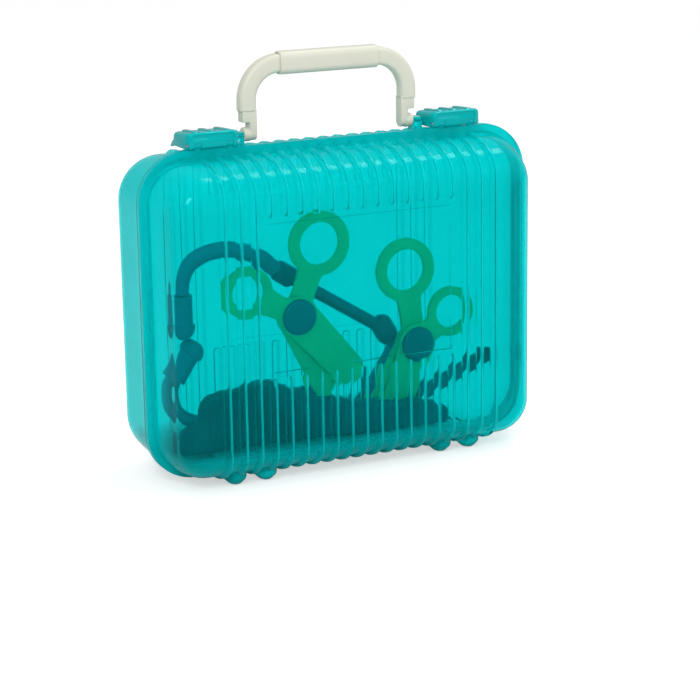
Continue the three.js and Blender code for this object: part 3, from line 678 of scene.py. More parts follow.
@dataclass(frozen=True)
class Finish:
    """Moulded finish whose colour and gloss vary a little over the surface."""

    name: str
    colour: Colour
    roughness: float
    grain: Grain
    colour_swing: float
    roughness_swing: float
    metallic: float = 0.0

    def values(self) -> dict[str, object]:
        """Plain values on the shader's own sockets."""
        colour = (*self.colour, 1)
        return {"Base Color": colour, "Roughness": self.roughness, "Metallic": self.metallic}

    def vary(self, wiring: MaterialWiring) -> None:
        """Varies colour and roughness with soft blotches.

        Args:
            wiring: The material.
        """
        ramp = wiring.node("ShaderNodeValToRGB", {"Fac": wiring.noise(*BLOTCHES)})
        ends = ((0.3, -self.colour_swing), (0.7, self.colour_swing))
        for element, (position, swing) in zip(ramp.color_ramp.elements, ends):
            element.position = position
            element.color = (*(min(c * (1 + swing), 1) for c in self.colour), 1)
        wiring.feed(wiring.shader.inputs["Base Color"], ramp.outputs["Color"])
        low = max(self.roughness - self.roughness_swing, 0.0)
        high = min(self.roughness + self.roughness_swing, 1.0)
        wear = wiring.ramp(wiring.noise(*WEAR), wanted=(low, high))
        wiring.feed(wiring.shader.inputs["Roughness"], wear)

    def bump(self, wiring: MaterialWiring) -> None:
        """Adds the grain as a bump.

        Args:
            wiring: The material.
        """
        strength, scale, depth = self.grain.value
        grain = wiring.noise(scale, GRAIN_DETAIL)
        inputs = {"Strength": strength, "Distance": depth, "Height": grain}
        bump = wiring.node("ShaderNodeBump", inputs)
        wiring.feed(wiring.shader.inputs["Normal"], bump.outputs["Normal"])

    def material(self) -> bpy.types.Material:
        """Makes the whole material."""
        wiring = MaterialWiring(self.name, self.values())
        self.vary(wiring)
        self.bump(wiring)
        return wiring.material


@dataclass(frozen=True)
class ClearFinish(Finish):
    """See-through coloured plastic: clear, glossy and slightly wavy.

    A clear finish with a thin colour changes over the case, with a painted highlight on the rib
    flanks and painted shade at the bottom: see zones.
    """

    refraction: float = 1.16
    specular: float = 0.9
    transmission: float = 0.96
    gleam: Colour = (0.3, 1.0, 1.0)
    thin: Colour | None = None
    # Painted shade at the bottom beside the cuff: its darker colour here, and below it how much
    # transmission it takes away, how high it reaches and how far across.
    deep: Colour = (0.0, 0.5, 0.51)
    thin_clearness: float = 0.8
    # Painted highlight: transmission taken off on the ribs' marked flanks, so they light up as
    # bright lines.
    painted_highlight_cloudiness: float = 0.42
    painted_shade_clouding: float = 0.5
    top_zone: Pair = (0.18, 0.208)
    rim_zone: Pair = (0.02, 0.005)
    painted_shade_height: Pair = (0.026, 0.012)
    painted_shade_across: Pair = (0.095, 0.05)

    def values(self) -> dict[str, object]:
        """Plain values on the shader's own sockets."""
        return {
            **super().values(),
            "Transmission Weight": self.transmission,
            "IOR": self.refraction,
            "Specular IOR Level": self.specular,
            "Specular Tint": (*self.gleam, 1),
        }

    def vary(self, wiring: MaterialWiring) -> None:
        """Varies the finish, over the case as well where it has a thin colour.

        Args:
            wiring: The material.
        """
        super().vary(wiring)
        if self.thin is not None:
            self.zones(wiring)

    def zones(self, wiring: MaterialWiring) -> None:
        """Changes colour and clearness with the place on the case.

        The plastic is paler and cloudier towards the rim and the top. On the ribs' marked flanks
        it is cloudier, a painted highlight that lights them as bright lines. At the bottom beside
        the cuff it is darker and cloudier, a painted shade.

        Args:
            wiring: The material.
        """
        place = wiring.node("ShaderNodeSeparateXYZ", {0: wiring.place()})
        x, y, height = place.outputs
        from_rim = wiring.computed(
            "ABSOLUTE", wiring.computed("ADD", y, -DEPTH_SHIFT * MILLIMETRE)
        )
        thin = wiring.computed(
            "MAXIMUM", wiring.ramp(height, self.top_zone), wiring.ramp(from_rim, self.rim_zone)
        )
        # Painted shade: share of darker, cloudier plastic painted at the bottom beside the cuff.
        low = wiring.computed(
            "MULTIPLY", wiring.ramp(height, self.painted_shade_height), wiring.ramp(x, self.painted_shade_across)
        )
        clear = (self.transmission, self.transmission * self.thin_clearness)
        # Painted highlight: the marked rib flanks are made cloudier, so they light up as bright
        # lines.
        flank_highlights = wiring.node("ShaderNodeAttribute", attribute_name="painted_flank_highlight").outputs["Fac"]
        highlight_clouding = wiring.computed("MULTIPLY", flank_highlights, self.painted_highlight_cloudiness)
        left = wiring.computed("SUBTRACT", wiring.ramp(thin, wanted=clear), highlight_clouding)
        weight = wiring.computed("MULTIPLY_ADD", low, -self.painted_shade_clouding, left)
        wiring.feed(wiring.shader.inputs["Transmission Weight"], weight)
        colour = wiring.shader.inputs["Base Color"]
        pale = wiring.blended(thin, colour.links[0].from_socket, (*self.thin, 1))
        # Painted shade colour laid over the bottom beside the cuff.
        wiring.feed(colour, wiring.blended(low, pale, (*self.deep, 1)))


CLEAR_TEAL = ClearFinish(
    "clear_teal_plastic", (0.0, 0.7, 0.705), 0.05, Grain.POLISHED, 0.02, 0.03,
    thin=(0.0, 0.77, 0.78),
)
LATCH_TEAL = ClearFinish(
    "latch_teal_plastic", (0.0, 0.4, 0.41), 0.07, Grain.POLISHED, 0.03, 0.03, transmission=0.0,
    refraction=1.46, specular=0.5, gleam=(0.2, 1.0, 1.0),
)
FOOT_TEAL = ClearFinish(
    "foot_teal_plastic", (0.0, 0.6, 0.61), 0.1, Grain.POLISHED, 0.02, 0.03, transmission=0.5,
    refraction=1.15,
)
OFF_WHITE = Finish("off_white_plastic", (0.65, 0.65, 0.55), 0.42, Grain.SATIN, 0.02, 0.06)
STEEL = Finish("steel_wire", (0.6, 0.61, 0.62), 0.3, Grain.SATIN, 0.05, 0.1, metallic=1.0)
GREEN = Finish("green_plastic", (0.2, 0.58, 0.23), 0.35, Grain.SATIN, 0.05, 0.08)
NAVY = Finish("navy_plastic", (0.11, 0.13, 0.18), 0.35, Grain.SATIN, 0.05, 0.08)
# Its colour swing of 0.5 paints large darker and lighter blotches, a painted fold shade, on the
# cuff and on the tool handle's bar alike.
DARK_BLUE = Finish("dark_blue_plastic", (0.06, 0.1, 0.13), 0.5, Grain.WOVEN, 0.5, 0.1)
RUBBER = Finish("dark_blue_rubber", (0.14, 0.24, 0.33), 0.55, Grain.MATT, 0.06, 0.1)


class Paints:
    """The materials made from the finishes, each made once."""

    def __init__(self) -> None:
        """Starts with no material made."""
        self.made: dict[str, bpy.types.Material] = {}

    def of(self, finish: Finish) -> bpy.types.Material:
        """Gives the material of a finish.

        Args:
            finish: The finish.

        Returns:
            Its material, made on the first call.
        """
        if finish.name not in self.made:
            self.made[finish.name] = finish.material()
        return self.made[finish.name]


@dataclass
class SubAssembly:
    """A group of pieces that is built and dressed together."""

    paints: Paints
    rows: RowTree
    tubes: TubeTree

    def dress(
        self, obj: bpy.types.Object, finish: Finish, slot: str, body: str, nodes: list[str]
    ) -> None:
        """Gives a piece its material, its body and the CAD nodes it stands for.

        Args:
            obj: The piece.
            finish: Its finish.
            slot: The record's material slot; not used.
            body: The body it rides on.
            nodes: The CAD nodes it stands for.
        """
        obj.data.materials.append(self.paints.of(finish))
        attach(obj, body)
        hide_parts(*nodes)
        LOG.info("%s: %d faces, rides on %s", obj.name, len(obj.data.polygons), body)

    def repaint(self, node: str, finish: Finish) -> None:
        """Gives a CAD node that keeps its shape its material.

        Args:
            node: Name of the node.
            finish: Its finish.
        """
        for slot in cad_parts[node].material_slots:
            slot.material = self.paints.of(finish)
        LOG.info("%s: CAD shape with %s", node, finish.name)


# Shells


@dataclass
class RimSizes:
    """Sizes that both halves of the case share, in millimetres."""

    width: float = 280
    height: float = 215.5
    lift: float = 3
    corner: float = 33
    edge: float = 1
    wall: float = 2
    seat_gap: float = 0.3
    bottom_overhang: float = 3
    bottom_draft: float = 1

    @property
    def top(self) -> float:
        """Height of the rim's top."""
        return self.lift + self.height

    @property
    def straight(self) -> float:
        """Half of the rim's straight top and bottom."""
        return self.width / 2 - self.corner


@dataclass
class RibSizes:
    """The ribs and the plain panel between them, in millimetres."""

    count: int = 19
    end_margin: float = 9.44
    full_each_side: int = 3
    width: float = 5.4
    height: float = 2.2
    panel_height: float = 97
    panel_middle: float = 124.2
    panel_recess: float = 0.4
    panel_to_rib: float = 4
    groove_inset: float = 0.85
    groove_depth: float = 1.7

    @property
    def low(self) -> float:
        """Height of the panel's lower edge."""
        return self.panel_middle - self.panel_height / 2

    @property
    def high(self) -> float:
        """Height of the panel's upper edge."""
        return self.panel_middle + self.panel_height / 2

    def pitch(self, rim: RimSizes) -> float:
        """Distance from rib to rib."""
        return (2 * rim.straight - 2 * self.end_margin) / (self.count - 1)

    def profile(self, share: float) -> float:
        """Height of a rib's section as a share, at a share of its half width."""
        return (1 - share ** 2.5) ** 0.7 if share < 1 else 0.0


@dataclass
class Level:
    """One ring of a shell: its depth, its insets and the direction it faces."""

    depth: float
    side: float
    top: float
    bottom: float
    facing: Pair = (0, 1)
    ribbed: bool = False


CORNER_STEPS = 12
FILLET_STEPS = 10
EDGE_STEPS = 4
SEAT_BREAK = 0.35
WALL_START = 0.6
SOFTENING = 0.18
MOUTH_END = 0.5
PANEL_EDGE = 0.12
WALL_SHARES = (0.0, 0.3, 0.6, 0.85)
MARK_REACH = 0.04
MARK_FADE = 8
FACE_DEPTH = 3
BORE_RADIUS = 1.35
KNUCKLE_RADIUS = 2.4
KNUCKLE_EDGE = 0.3
HINGE_HEIGHT = 2.8
HINGE_RIB = 7
FOOT_RIBS = (-8, 6)
FOOT_FORM = (
    (0, 0.2), (0.015, 0.36), (0.05, 0.5), (0.11, 0.61), (0.2, 0.72), (0.3, 0.84), (0.4, 0.97),
    (0.55, 1.05), (1, 1.1),
)
RIB_SHARES = (0.2, 0.38, 0.52, 0.63, 0.8, 0.92, 1.0, 1.12)
# Painted highlight on the rib flanks: share of the half width and strength of each mark, stronger
# on the +x side.
PAINTED_FLANK_HIGHLIGHTS = ((0.52, 0.3), (0.63, 0.9), (0.8, 1.0), (0.92, 1.0), (1.0, 0.5), (-1.0, 0.5))
LATCH_SPREAD = 87.7
EAR_SPREAD = 11
TIP_SHARES = (0.0, 0.35, 0.62, 0.8, 0.92, 1.0, 1.15)


@dataclass
class HalfShell(SubAssembly):
    """One thin, ribbed half of the case, with all that is moulded onto it."""

    name: str = ""
    body: str = ""
    direction: int = 1
    depth: float = 0
    flange: float = 0
    side: Pair = (0, 0)
    crown: Pair = (0, 0)
    fillet: float = 0
    crown_fillet: Pair = (0, 0)
    floor_fillet: Pair = (0, 0)
    foot_setback: float = 0
    foot_width: float = 14.0
    foot_length: float = 15
    # Painted highlight on the rib flanks: the depth where it starts and how strong it is.
    painted_highlight_start: float = 12
    painted_highlight_strength: float = 1.0
    rim: RimSizes = field(default_factory=RimSizes)
    ribs: RibSizes = field(default_factory=RibSizes)

    def inset(self, share: float) -> tuple[float, float, float]:
        """How far the wall stands inside the rim.

        Args:
            share: Share of the way from the rim to the face.

        Returns:
            The insets at the side, the top and the bottom.
        """
        return (
            self.side[0] + self.side[1] * share,
            self.crown[0] + self.crown[1] * share,
            self.rim.bottom_overhang + self.rim.bottom_draft * share,
        )

    def outer_levels(self) -> list[Level]:
        """Rings of the outside, from the parting edge to the face."""
        edge, seat = self.rim.edge, self.rim.seat_gap / 2
        levels = [Level(seat, *[SEAT_BREAK] * 3), Level(seat + SEAT_BREAK, 0, 0, 0)]
        for k in range(EDGE_STEPS + 1):
            angle = k / EDGE_STEPS * math.pi / 2
            drop = edge * (1 - math.cos(angle))
            levels.append(Level(self.flange - edge + edge * math.sin(angle), drop, drop, drop))
        mouth = self.inset(0)
        for depth, out in ((self.flange, WALL_START), (self.flange + SOFTENING, SOFTENING)):
            levels.append(Level(depth, *(value - out for value in mouth), ribbed=True))
        return levels + self.wall_levels(mouth, self.inset(1), 0.0)

    def inner_levels(self) -> list[Level]:
        """Rings of the inside, from the parting edge to the face's inside."""
        wall = self.rim.wall
        mouth, deep = ([value + wall for value in self.inset(share)] for share in (0, 1))
        depths = (self.rim.seat_gap / 2, self.flange - MOUTH_END)
        levels = [Level(depth, *mouth) for depth in depths]
        return levels + self.wall_levels(mouth, deep, wall)

    def wall_levels(self, mouth: list[float], deep: list[float], wall: float) -> list[Level]:
        """Rings from the rim's flange to the face.

        Args:
            mouth: Insets at the side, the top and the bottom next to the flange.
            deep: The same at the face.
            wall: How far the rings lie inside the outer skin.

        Returns:
            The rings.
        """
        start, end = self.flange + WALL_START, self.depth - self.fillet
        levels = []
        for share in WALL_SHARES:
            insets = [a + (b - a) * share for a, b in zip(mouth, deep)]
            levels.append(self.curved(start + (end - start) * share, insets, wall))
        for k in range(FILLET_STEPS + 1):
            angle = k / FILLET_STEPS * math.pi / 2
            depth = self.depth - self.fillet * (1 - math.sin(angle))
            levels.append(self.curved(depth, deep, wall))
        return levels

    def curved(self, depth: float, insets: list[float], wall: float) -> Level:
        """A ring of the wall, drawn in where it turns into the face.

        Args:
            depth: Its depth on the outside.
            insets: Insets at the side, the top and the bottom before it is drawn in.
            wall: How far it lies inside the outer skin.

        Returns:
            The ring.
        """
        radius = self.fillet - wall
        sine = min(max(1 - (self.depth - depth) / self.fillet, 0.0), 1.0)
        drop = radius * (1 - math.sqrt(1 - sine ** 2))
        crown, sink = self.sunk(depth, self.crown_fillet, wall)
        _, lift = self.sunk(depth, self.floor_fillet, wall)
        below = self.depth - wall - radius * (1 - sine) if sine > 0 else depth
        angle = math.asin((sine + crown) / 2)
        return Level(
            below, insets[0] + drop, insets[1] + sink, insets[2] + lift,
            (math.sin(angle), math.cos(angle)), True,
        )

    def sunk(self, depth: float, fillet: Pair, wall: float) -> Pair:
        """Share of a rounding passed at a depth, and how far it draws the wall in."""
        share = min(max(1 - (self.depth - depth) / fillet[0], 0.0), 1.0)
        return share, (fillet[1] - wall) * (1 - math.sqrt(1 - share ** 2))

    def rib_places(self) -> list[tuple[float, bool]]:
        """x of each rib and whether it runs down the whole face."""
        half = (self.ribs.count - 1) // 2
        pitch = self.ribs.pitch(self.rim)
        return [
            (k * pitch, abs(k) > half - self.ribs.full_each_side)
            for k in range(-half, half + 1)
        ]

    def panel_half(self) -> float:
        """Half of the plain panel's width."""
        split = self.ribs.count - 1 - 2 * self.ribs.full_each_side
        return split * self.ribs.pitch(self.rim) / 2

    def rise(self, x: float, z: float, on_face: bool, inside: bool = False) -> float:
        """How far the outside stands off the plain wall.

        Args:
            x: Place across the case.
            z: Height of the place.
            on_face: Whether it lies on the flat face.
            inside: Whether it lies on the wall's inside, where a rib is a narrower groove.

        Returns:
            The height of a rib, or the panel's recess as a negative number.
        """
        ribs = self.ribs
        half = ribs.width / 2 - (ribs.groove_inset if inside else 0)
        height = ribs.groove_depth if inside else ribs.height
        centre, full = min(self.rib_places(), key=lambda rib: abs(rib[0] - x))
        across = abs(x - centre)
        if full or not on_face:
            return height * ribs.profile(across / half)
        if abs(x) < self.panel_half() and ribs.low < z < ribs.high:
            return -ribs.panel_recess
        inner_end = ribs.panel_to_rib + ribs.width / 2
        beyond = max(min(ribs.high + inner_end - z, z - ribs.low + inner_end), 0)
        return height * ribs.profile(math.hypot(across, beyond) / half)

    def stations(self) -> list[float]:
        """Places across the case where its section is drawn."""
        half = self.ribs.width / 2
        places = {-self.rim.straight, self.rim.straight}
        for centre, _ in self.rib_places():
            places.add(centre)
            for share in RIB_SHARES:
                places.update((centre - share * half, centre + share * half))
        for side in (-1, 1):
            for step in (-PANEL_EDGE, PANEL_EDGE):
                places.add(side * self.panel_half() + step)
        return sorted(places)

    def face_heights(self, low: float, high: float) -> list[float]:
        """Heights on the face where its section is drawn.

        Args:
            low: Lower end of the face.
            high: Upper end of the face.

        Returns:
            The heights between the ends, rising.
        """
        ribs = self.ribs
        half = ribs.width / 2
        low_tip = ribs.low - ribs.panel_to_rib - half
        high_tip = ribs.high + ribs.panel_to_rib + half
        return [
            *spaced(low, low_tip, 5)[1:-1],
            *(low_tip + share * half for share in TIP_SHARES),
            ribs.low - PANEL_EDGE, ribs.low + PANEL_EDGE,
            *spaced(ribs.low, ribs.high, 7)[1:-1],
            ribs.high - PANEL_EDGE, ribs.high + PANEL_EDGE,
            *(high_tip - share * half for share in reversed(TIP_SHARES)),
            *spaced(high_tip, high, 4)[1:-1],
        ]

    def at(self, x: float, depth: float, z: float) -> Point:
        """Place at a depth behind or before the parting plane."""
        return x, self.direction * depth, z

    def edges(
        self, x: float, levels: list[Level], inside: bool
    ) -> tuple[list[Point], list[Point]]:
        """Bottom and top of a section, from the parting edge to the face.

        Args:
            x: Place of the section.
            levels: Rings that it crosses.
            inside: Whether they lie on the wall's inside.

        Returns:
            The points along the bottom and those along the top.
        """
        lower, upper = [], []
        for level in levels:
            lift = self.rise(x, 0, False, inside) if level.ribbed else 0
            out, up = level.facing[0] * lift, level.facing[1] * lift
            lower.append(self.at(x, level.depth + out, self.rim.lift + level.bottom - up))
            upper.append(self.at(x, level.depth + out, self.rim.top - level.top + up))
        return lower, upper

    def column(self, x: float, last: Level, inside: bool) -> list[Point]:
        """Points up the face at one place across the case.

        Args:
            x: The place.
            last: The ring that the face lies in.
            inside: Whether to run up the face's inside.

        Returns:
            The points, rising.
        """
        depth = self.depth - self.rim.wall if inside else self.depth
        heights = self.face_heights(self.rim.lift + last.bottom, self.rim.top - last.top)
        return [self.at(x, depth + self.rise(x, z, True, inside), z) for z in heights]

    def section(self, x: float) -> list[Point]:
        """Closed section of the wall at one place across the case.

        Args:
            x: The place.

        Returns:
            Points up the outside and down the inside again.
        """
        outer, inner = self.outer_levels(), self.inner_levels()
        lower, upper = self.edges(x, outer, False)
        inside_low, inside_top = self.edges(x, inner, True)
        face, back = self.column(x, outer[-1], False), self.column(x, inner[-1], True)
        return lower + face + upper[::-1] + inside_top + back[::-1] + inside_low[::-1]

    def half_ring(self, level: Level, side: int) -> list[Point]:
        """One end of a ring, from the top round the corner and the side to the bottom.

        Args:
            level: The ring.
            side: -1 for the left end, 1 for the right.

        Returns:
            Its points.
        """
        rim = self.rim
        radius = max(rim.corner - level.side, rim.wall)
        high = rim.top - level.top - radius
        low = rim.lift + level.bottom + radius
        points = []
        for centre, start in ((high, math.pi / 2), (low, 0.0)):
            for k in range(CORNER_STEPS + 1):
                angle = start - k / CORNER_STEPS * math.pi / 2
                x = rim.straight + radius * math.cos(angle)
                points.append(self.at(side * x, level.depth, centre + radius * math.sin(angle)))
        middle = CORNER_STEPS + 1
        upper, lower = points[:middle], points[middle:]
        between = [
            self.at(side * (rim.straight + radius), level.depth, z)
            for z in spaced(high, low, 6)[1:-1]
        ]
        return upper + between + lower

    def end(self, skin: Skin, side: int) -> None:
        """Closes one end of the shell.

        Args:
            skin: The skin to add it to.
            side: -1 for the left end, 1 for the right.
        """
        outer, inner = self.outer_levels(), self.inner_levels()
        rings = [self.half_ring(level, side) for level in reversed(outer)]
        rings += [self.half_ring(level, side) for level in inner]
        skin.rings(rings, closed=False, caps=False)
        for level, inside in ((outer[-1], False), (inner[-1], True)):
            column = self.column(side * self.rim.straight, level, inside)
            skin.faces.append(tuple(skin.add(self.half_ring(level, side) + column)))

    def wall_mesh(self) -> bpy.types.Mesh:
        """The thin ribbed wall, closed all round."""
        skin = Skin()
        skin.rings([self.section(x) for x in self.stations()], closed=True, caps=False)
        for side in (-1, 1):
            self.end(skin, side)
        mesh = skin.mesh(self.name)
        self.paint_flank_highlights(mesh)
        return mesh

    def paint_flank_highlights(self, mesh: bpy.types.Mesh) -> None:
        """Marks the ribs' steep flanks with an attribute that paints a highlight on them, mostly
        on their +x side.

        Args:
            mesh: The wall's mesh.
        """
        half = self.ribs.width / 2
        flank_highlights = mesh.attributes.new("painted_flank_highlight", "FLOAT", "POINT")
        for vertex in mesh.vertices:
            x, y, z = (value / MILLIMETRE for value in vertex.co)
            depth = abs(y - DEPTH_SHIFT)
            centre, _ = min(self.rib_places(), key=lambda rib: abs(rib[0] - x))
            on_face = depth > self.depth - FACE_DEPTH
            if depth < self.flange or self.rise(centre, z, on_face) <= 0:
                continue
            share = (x - centre) / half
            near = min(PAINTED_FLANK_HIGHLIGHTS, key=lambda mark: abs(mark[0] - share))
            if abs(near[0] - share) < MARK_REACH:
                fade = min(1.0, max(0.0, (depth - self.painted_highlight_start) / MARK_FADE))
                flank_highlights.data[vertex.index].value = near[1] * fade * self.painted_highlight_strength

    def foot_mesh(self) -> bpy.types.Mesh:
        """One rounded foot, drawn at x = 0."""
        middle = self.direction * self.foot_setback
        rings = []
        for up, size in FOOT_FORM:
            ring = []
            for x, y in circle((0, 0), 1, 32):
                place = middle + y * size * self.foot_length / 2
                height = self.underside(abs(place)) * up
                ring.append((x * size * self.foot_width / 2, place, height))
            rings.append(ring)
        return lofted("foot", rings)

    def underside(self, depth: float) -> float:
        """Height of the middle of the bottom wall at a depth."""
        rim = self.rim
        _, lift = self.sunk(depth, self.floor_fillet, 0.0)
        return rim.lift + rim.bottom_overhang + rim.bottom_draft + rim.wall / 2 + lift

    def feet(self) -> list[bpy.types.Mesh]:
        """The four feet, in two rows of two."""
        pitch = self.ribs.pitch(self.rim)
        return [
            self.rows.repeat(self.foot_mesh(), 2, rib * pitch, 2 * pitch) for rib in FOOT_RIBS
        ]

    def dress_feet(self) -> None:
        """Builds and dresses the four feet, which are thick enough to look solid."""
        obj = assembled(f"{self.name}_feet", self.feet(), 50)
        self.dress(obj, FOOT_TEAL, "clear_teal", self.body, [self.name])

    def knuckle(self, low: float, high: float) -> bpy.types.Mesh:
        """One hinge knuckle with its bore.

        Args:
            low: x of one end.
            high: x of the other end.

        Returns:
            The mesh, at the hinge's height.
        """
        outer, bore, edge, height = KNUCKLE_RADIUS, BORE_RADIUS, KNUCKLE_EDGE, HINGE_HEIGHT
        profile = [
            (bore, low + edge), (bore + edge, low), (outer - edge, low), (outer, low + edge),
            (outer, high - edge), (outer - edge, high), (bore + edge, high), (bore, high - edge),
        ]
        rings = [
            [(x, radius * c, height + radius * s) for c, s in circle((0, 0), 1, 32)]
            for radius, x in profile
        ]
        return lofted("knuckle", rings, caps=False, around=True)


@dataclass
class Lid(HalfShell):
    """The shallower front half, with its lip, hinge knuckles and latch ears."""

    name: str = "lid_shell"
    body: str = "lid"
    direction: int = -1
    depth: float = 37.2
    flange: float = 4
    side: Pair = (5.5, 5)
    crown: Pair = (6, 2)
    fillet: float = 14
    crown_fillet: Pair = (31, 21)
    floor_fillet: Pair = (22, 15)
    foot_setback: float = 18.5
    foot_length: float = 19
    knuckle_half: float = 7.5
    mouth: Point = (3, 6, 4)
    lip_thickness: float = 1.4
    lip_reach: float = 3.0
    lip_root: float = 1.6
    lip_clearance: float = 0.4
    lip_edge: float = 0.3
    ear_width: float = 4.0
    ear_radius: float = 2.4
    ear_setback: float = -1.8
    ear_turn: Pair = (-60, 240)

    def lip(self) -> bpy.types.Mesh:
        """Thin wall that stands inside the back shell's mouth."""
        thick, reach, root, edge = self.lip_thickness, self.lip_reach, self.lip_root, self.lip_edge
        insets = [value + self.rim.wall + self.lip_clearance for value in self.mouth]
        rings = []
        for depth, extra in (
            (root, 0.0), (-reach + edge, 0.0), (-reach, edge),
            (-reach, thick - edge), (-reach + edge, thick), (root, thick),
        ):
            level = Level(depth, *(value + extra for value in insets))
            rings.append(self.half_ring(level, 1) + self.half_ring(level, -1)[::-1])
        return lofted("lip", rings, caps=False, around=True)

    def ear(self) -> bpy.types.Mesh:
        """One latch ear, drawn at x = 0: an upright stem with a round head."""
        half, stem, place = self.ear_width / 2, self.ear_radius / 2, self.ear_setback
        height = self.rim.top + self.rim.seat_gap + self.ear_radius
        head = arc((place, height), self.ear_radius, *map(math.radians, self.ear_turn), 25)
        low = self.rim.top - self.rim.edge
        outline = head + [(place - stem, low), (place + stem, low)]
        return bevelled(extruded(outline, -half, half, "x"), 0.25, 2)

    def build(self) -> None:
        """Builds and dresses the lid."""
        pitch = self.ribs.pitch(self.rim)
        knuckle = self.knuckle(-self.knuckle_half, self.knuckle_half)
        knuckles = self.rows.repeat(knuckle, 2, -HINGE_RIB * pitch, 2 * HINGE_RIB * pitch)
        meshes = [self.wall_mesh(), self.lip(), knuckles]
        obj = assembled("lid_shell_clear", meshes, 50)
        self.dress(obj, CLEAR_TEAL, "clear_teal", self.body, [self.name])
        self.dress_feet()
        ears = [
            self.rows.repeat(self.ear(), 2, side * LATCH_SPREAD - EAR_SPREAD, 2 * EAR_SPREAD)
            for side in (-1, 1)
        ]
        obj = assembled("latch_ears", ears, 50)
        self.dress(obj, LATCH_TEAL, "solid_teal", self.body, [self.name])


@dataclass
class BackShell(HalfShell):
    """The deeper back half, with its hinge knuckles, catches and handle brackets."""

    name: str = "back_shell"
    body: str = "base"
    direction: int = 1
    depth: float = 57
    flange: float = 3
    side: Pair = (3, 2)
    crown: Pair = (6, 2.2)
    fillet: float = 12
    crown_fillet: Pair = (16, 14)
    floor_fillet: Pair = (16, 14)
    foot_setback: float = 32
    # Weaker painted highlight on this shell's rib flanks.
    painted_highlight_strength: float = 0.25
    knuckle_half: float = 4.5
    knuckle_reach: float = 12.3
    handle_setback: float = 12.0
    handle_above: float = 4.7
    groove_radius: float = 2.25
    groove_mouth: float = 1.6
    block_inner: float = 61.8
    block_width: float = 6
    block_foot: float = 9.2
    block_head: float = 6.7
    block_halves: Pair = (6, 3.5)
    catch_front: float = 9
    catch_rear: float = 12
    catch_half: float = 8

    def bracket(self, side: int) -> bpy.types.Mesh:
        """Block with the snap-in groove for one handle pin.

        Args:
            side: -1 for the left block, 1 for the right.

        Returns:
            The mesh.
        """
        setback, pin = self.handle_setback, self.rim.top + self.handle_above
        bore, mouth = self.groove_radius, self.groove_mouth
        low, crown = self.rim.top - self.block_foot, self.rim.top + self.block_head
        foot, head = self.block_halves
        opening = math.asin(mouth / bore)
        groove = [
            (setback + bore * math.sin(a), pin + bore * math.cos(a))
            for a in spaced(-opening, -2 * math.pi + opening, 25)
        ]
        outline = [
            (setback - foot, low), (setback + foot, low), (setback + head, crown),
            (setback + mouth, crown), *reversed(groove), (setback - mouth, crown),
            (setback - head, crown),
        ]
        ends = sorted((side * self.block_inner, side * (self.block_inner + self.block_width)))
        return bevelled(extruded(outline, *ends, "x"), 0.3, 2)

    def catch(self) -> bpy.types.Mesh:
        """Low block that a latch closes on, drawn at x = 0."""
        low = self.rim.top - self.block_foot
        outline = rectangle((self.catch_front, low), (self.catch_rear, self.rim.top))
        return bevelled(extruded(outline, -self.catch_half, self.catch_half, "x"), 0.4, 2)

    def build(self) -> None:
        """Builds and dresses the back shell."""
        pitch = self.ribs.pitch(self.rim)
        meshes = [self.wall_mesh(), self.bracket(-1), self.bracket(1)]
        for side in (-1, 1):
            knuckle = self.knuckle(-self.knuckle_half, self.knuckle_half)
            start = side * HINGE_RIB * pitch - self.knuckle_reach
            meshes.append(self.rows.repeat(knuckle, 2, start, 2 * self.knuckle_reach))
        meshes.append(self.rows.repeat(self.catch(), 2, -LATCH_SPREAD, 2 * LATCH_SPREAD))
        obj = assembled("back_shell_clear", meshes, 50)
        self.dress(obj, CLEAR_TEAL, "clear_teal", self.body, [self.name])
        self.dress_feet()


# Studio


WHITE = (1, 1, 1, 1)
MIDDLE = (0.0, 0.0, 0.12)


class Lamp(Enum):
    """Soft rectangular lamps: place and size in metres, power in watts."""

    KEY = ((-0.85, -1.3, 1.12), (0.4, 0.52), 12.5)
    OVERHEAD = ((0.68, 0.12, 1.55), (0.42, 0.6), 6)
    FILL = ((1.3, -1.3, 0.7), (1.2, 1.2), 6)


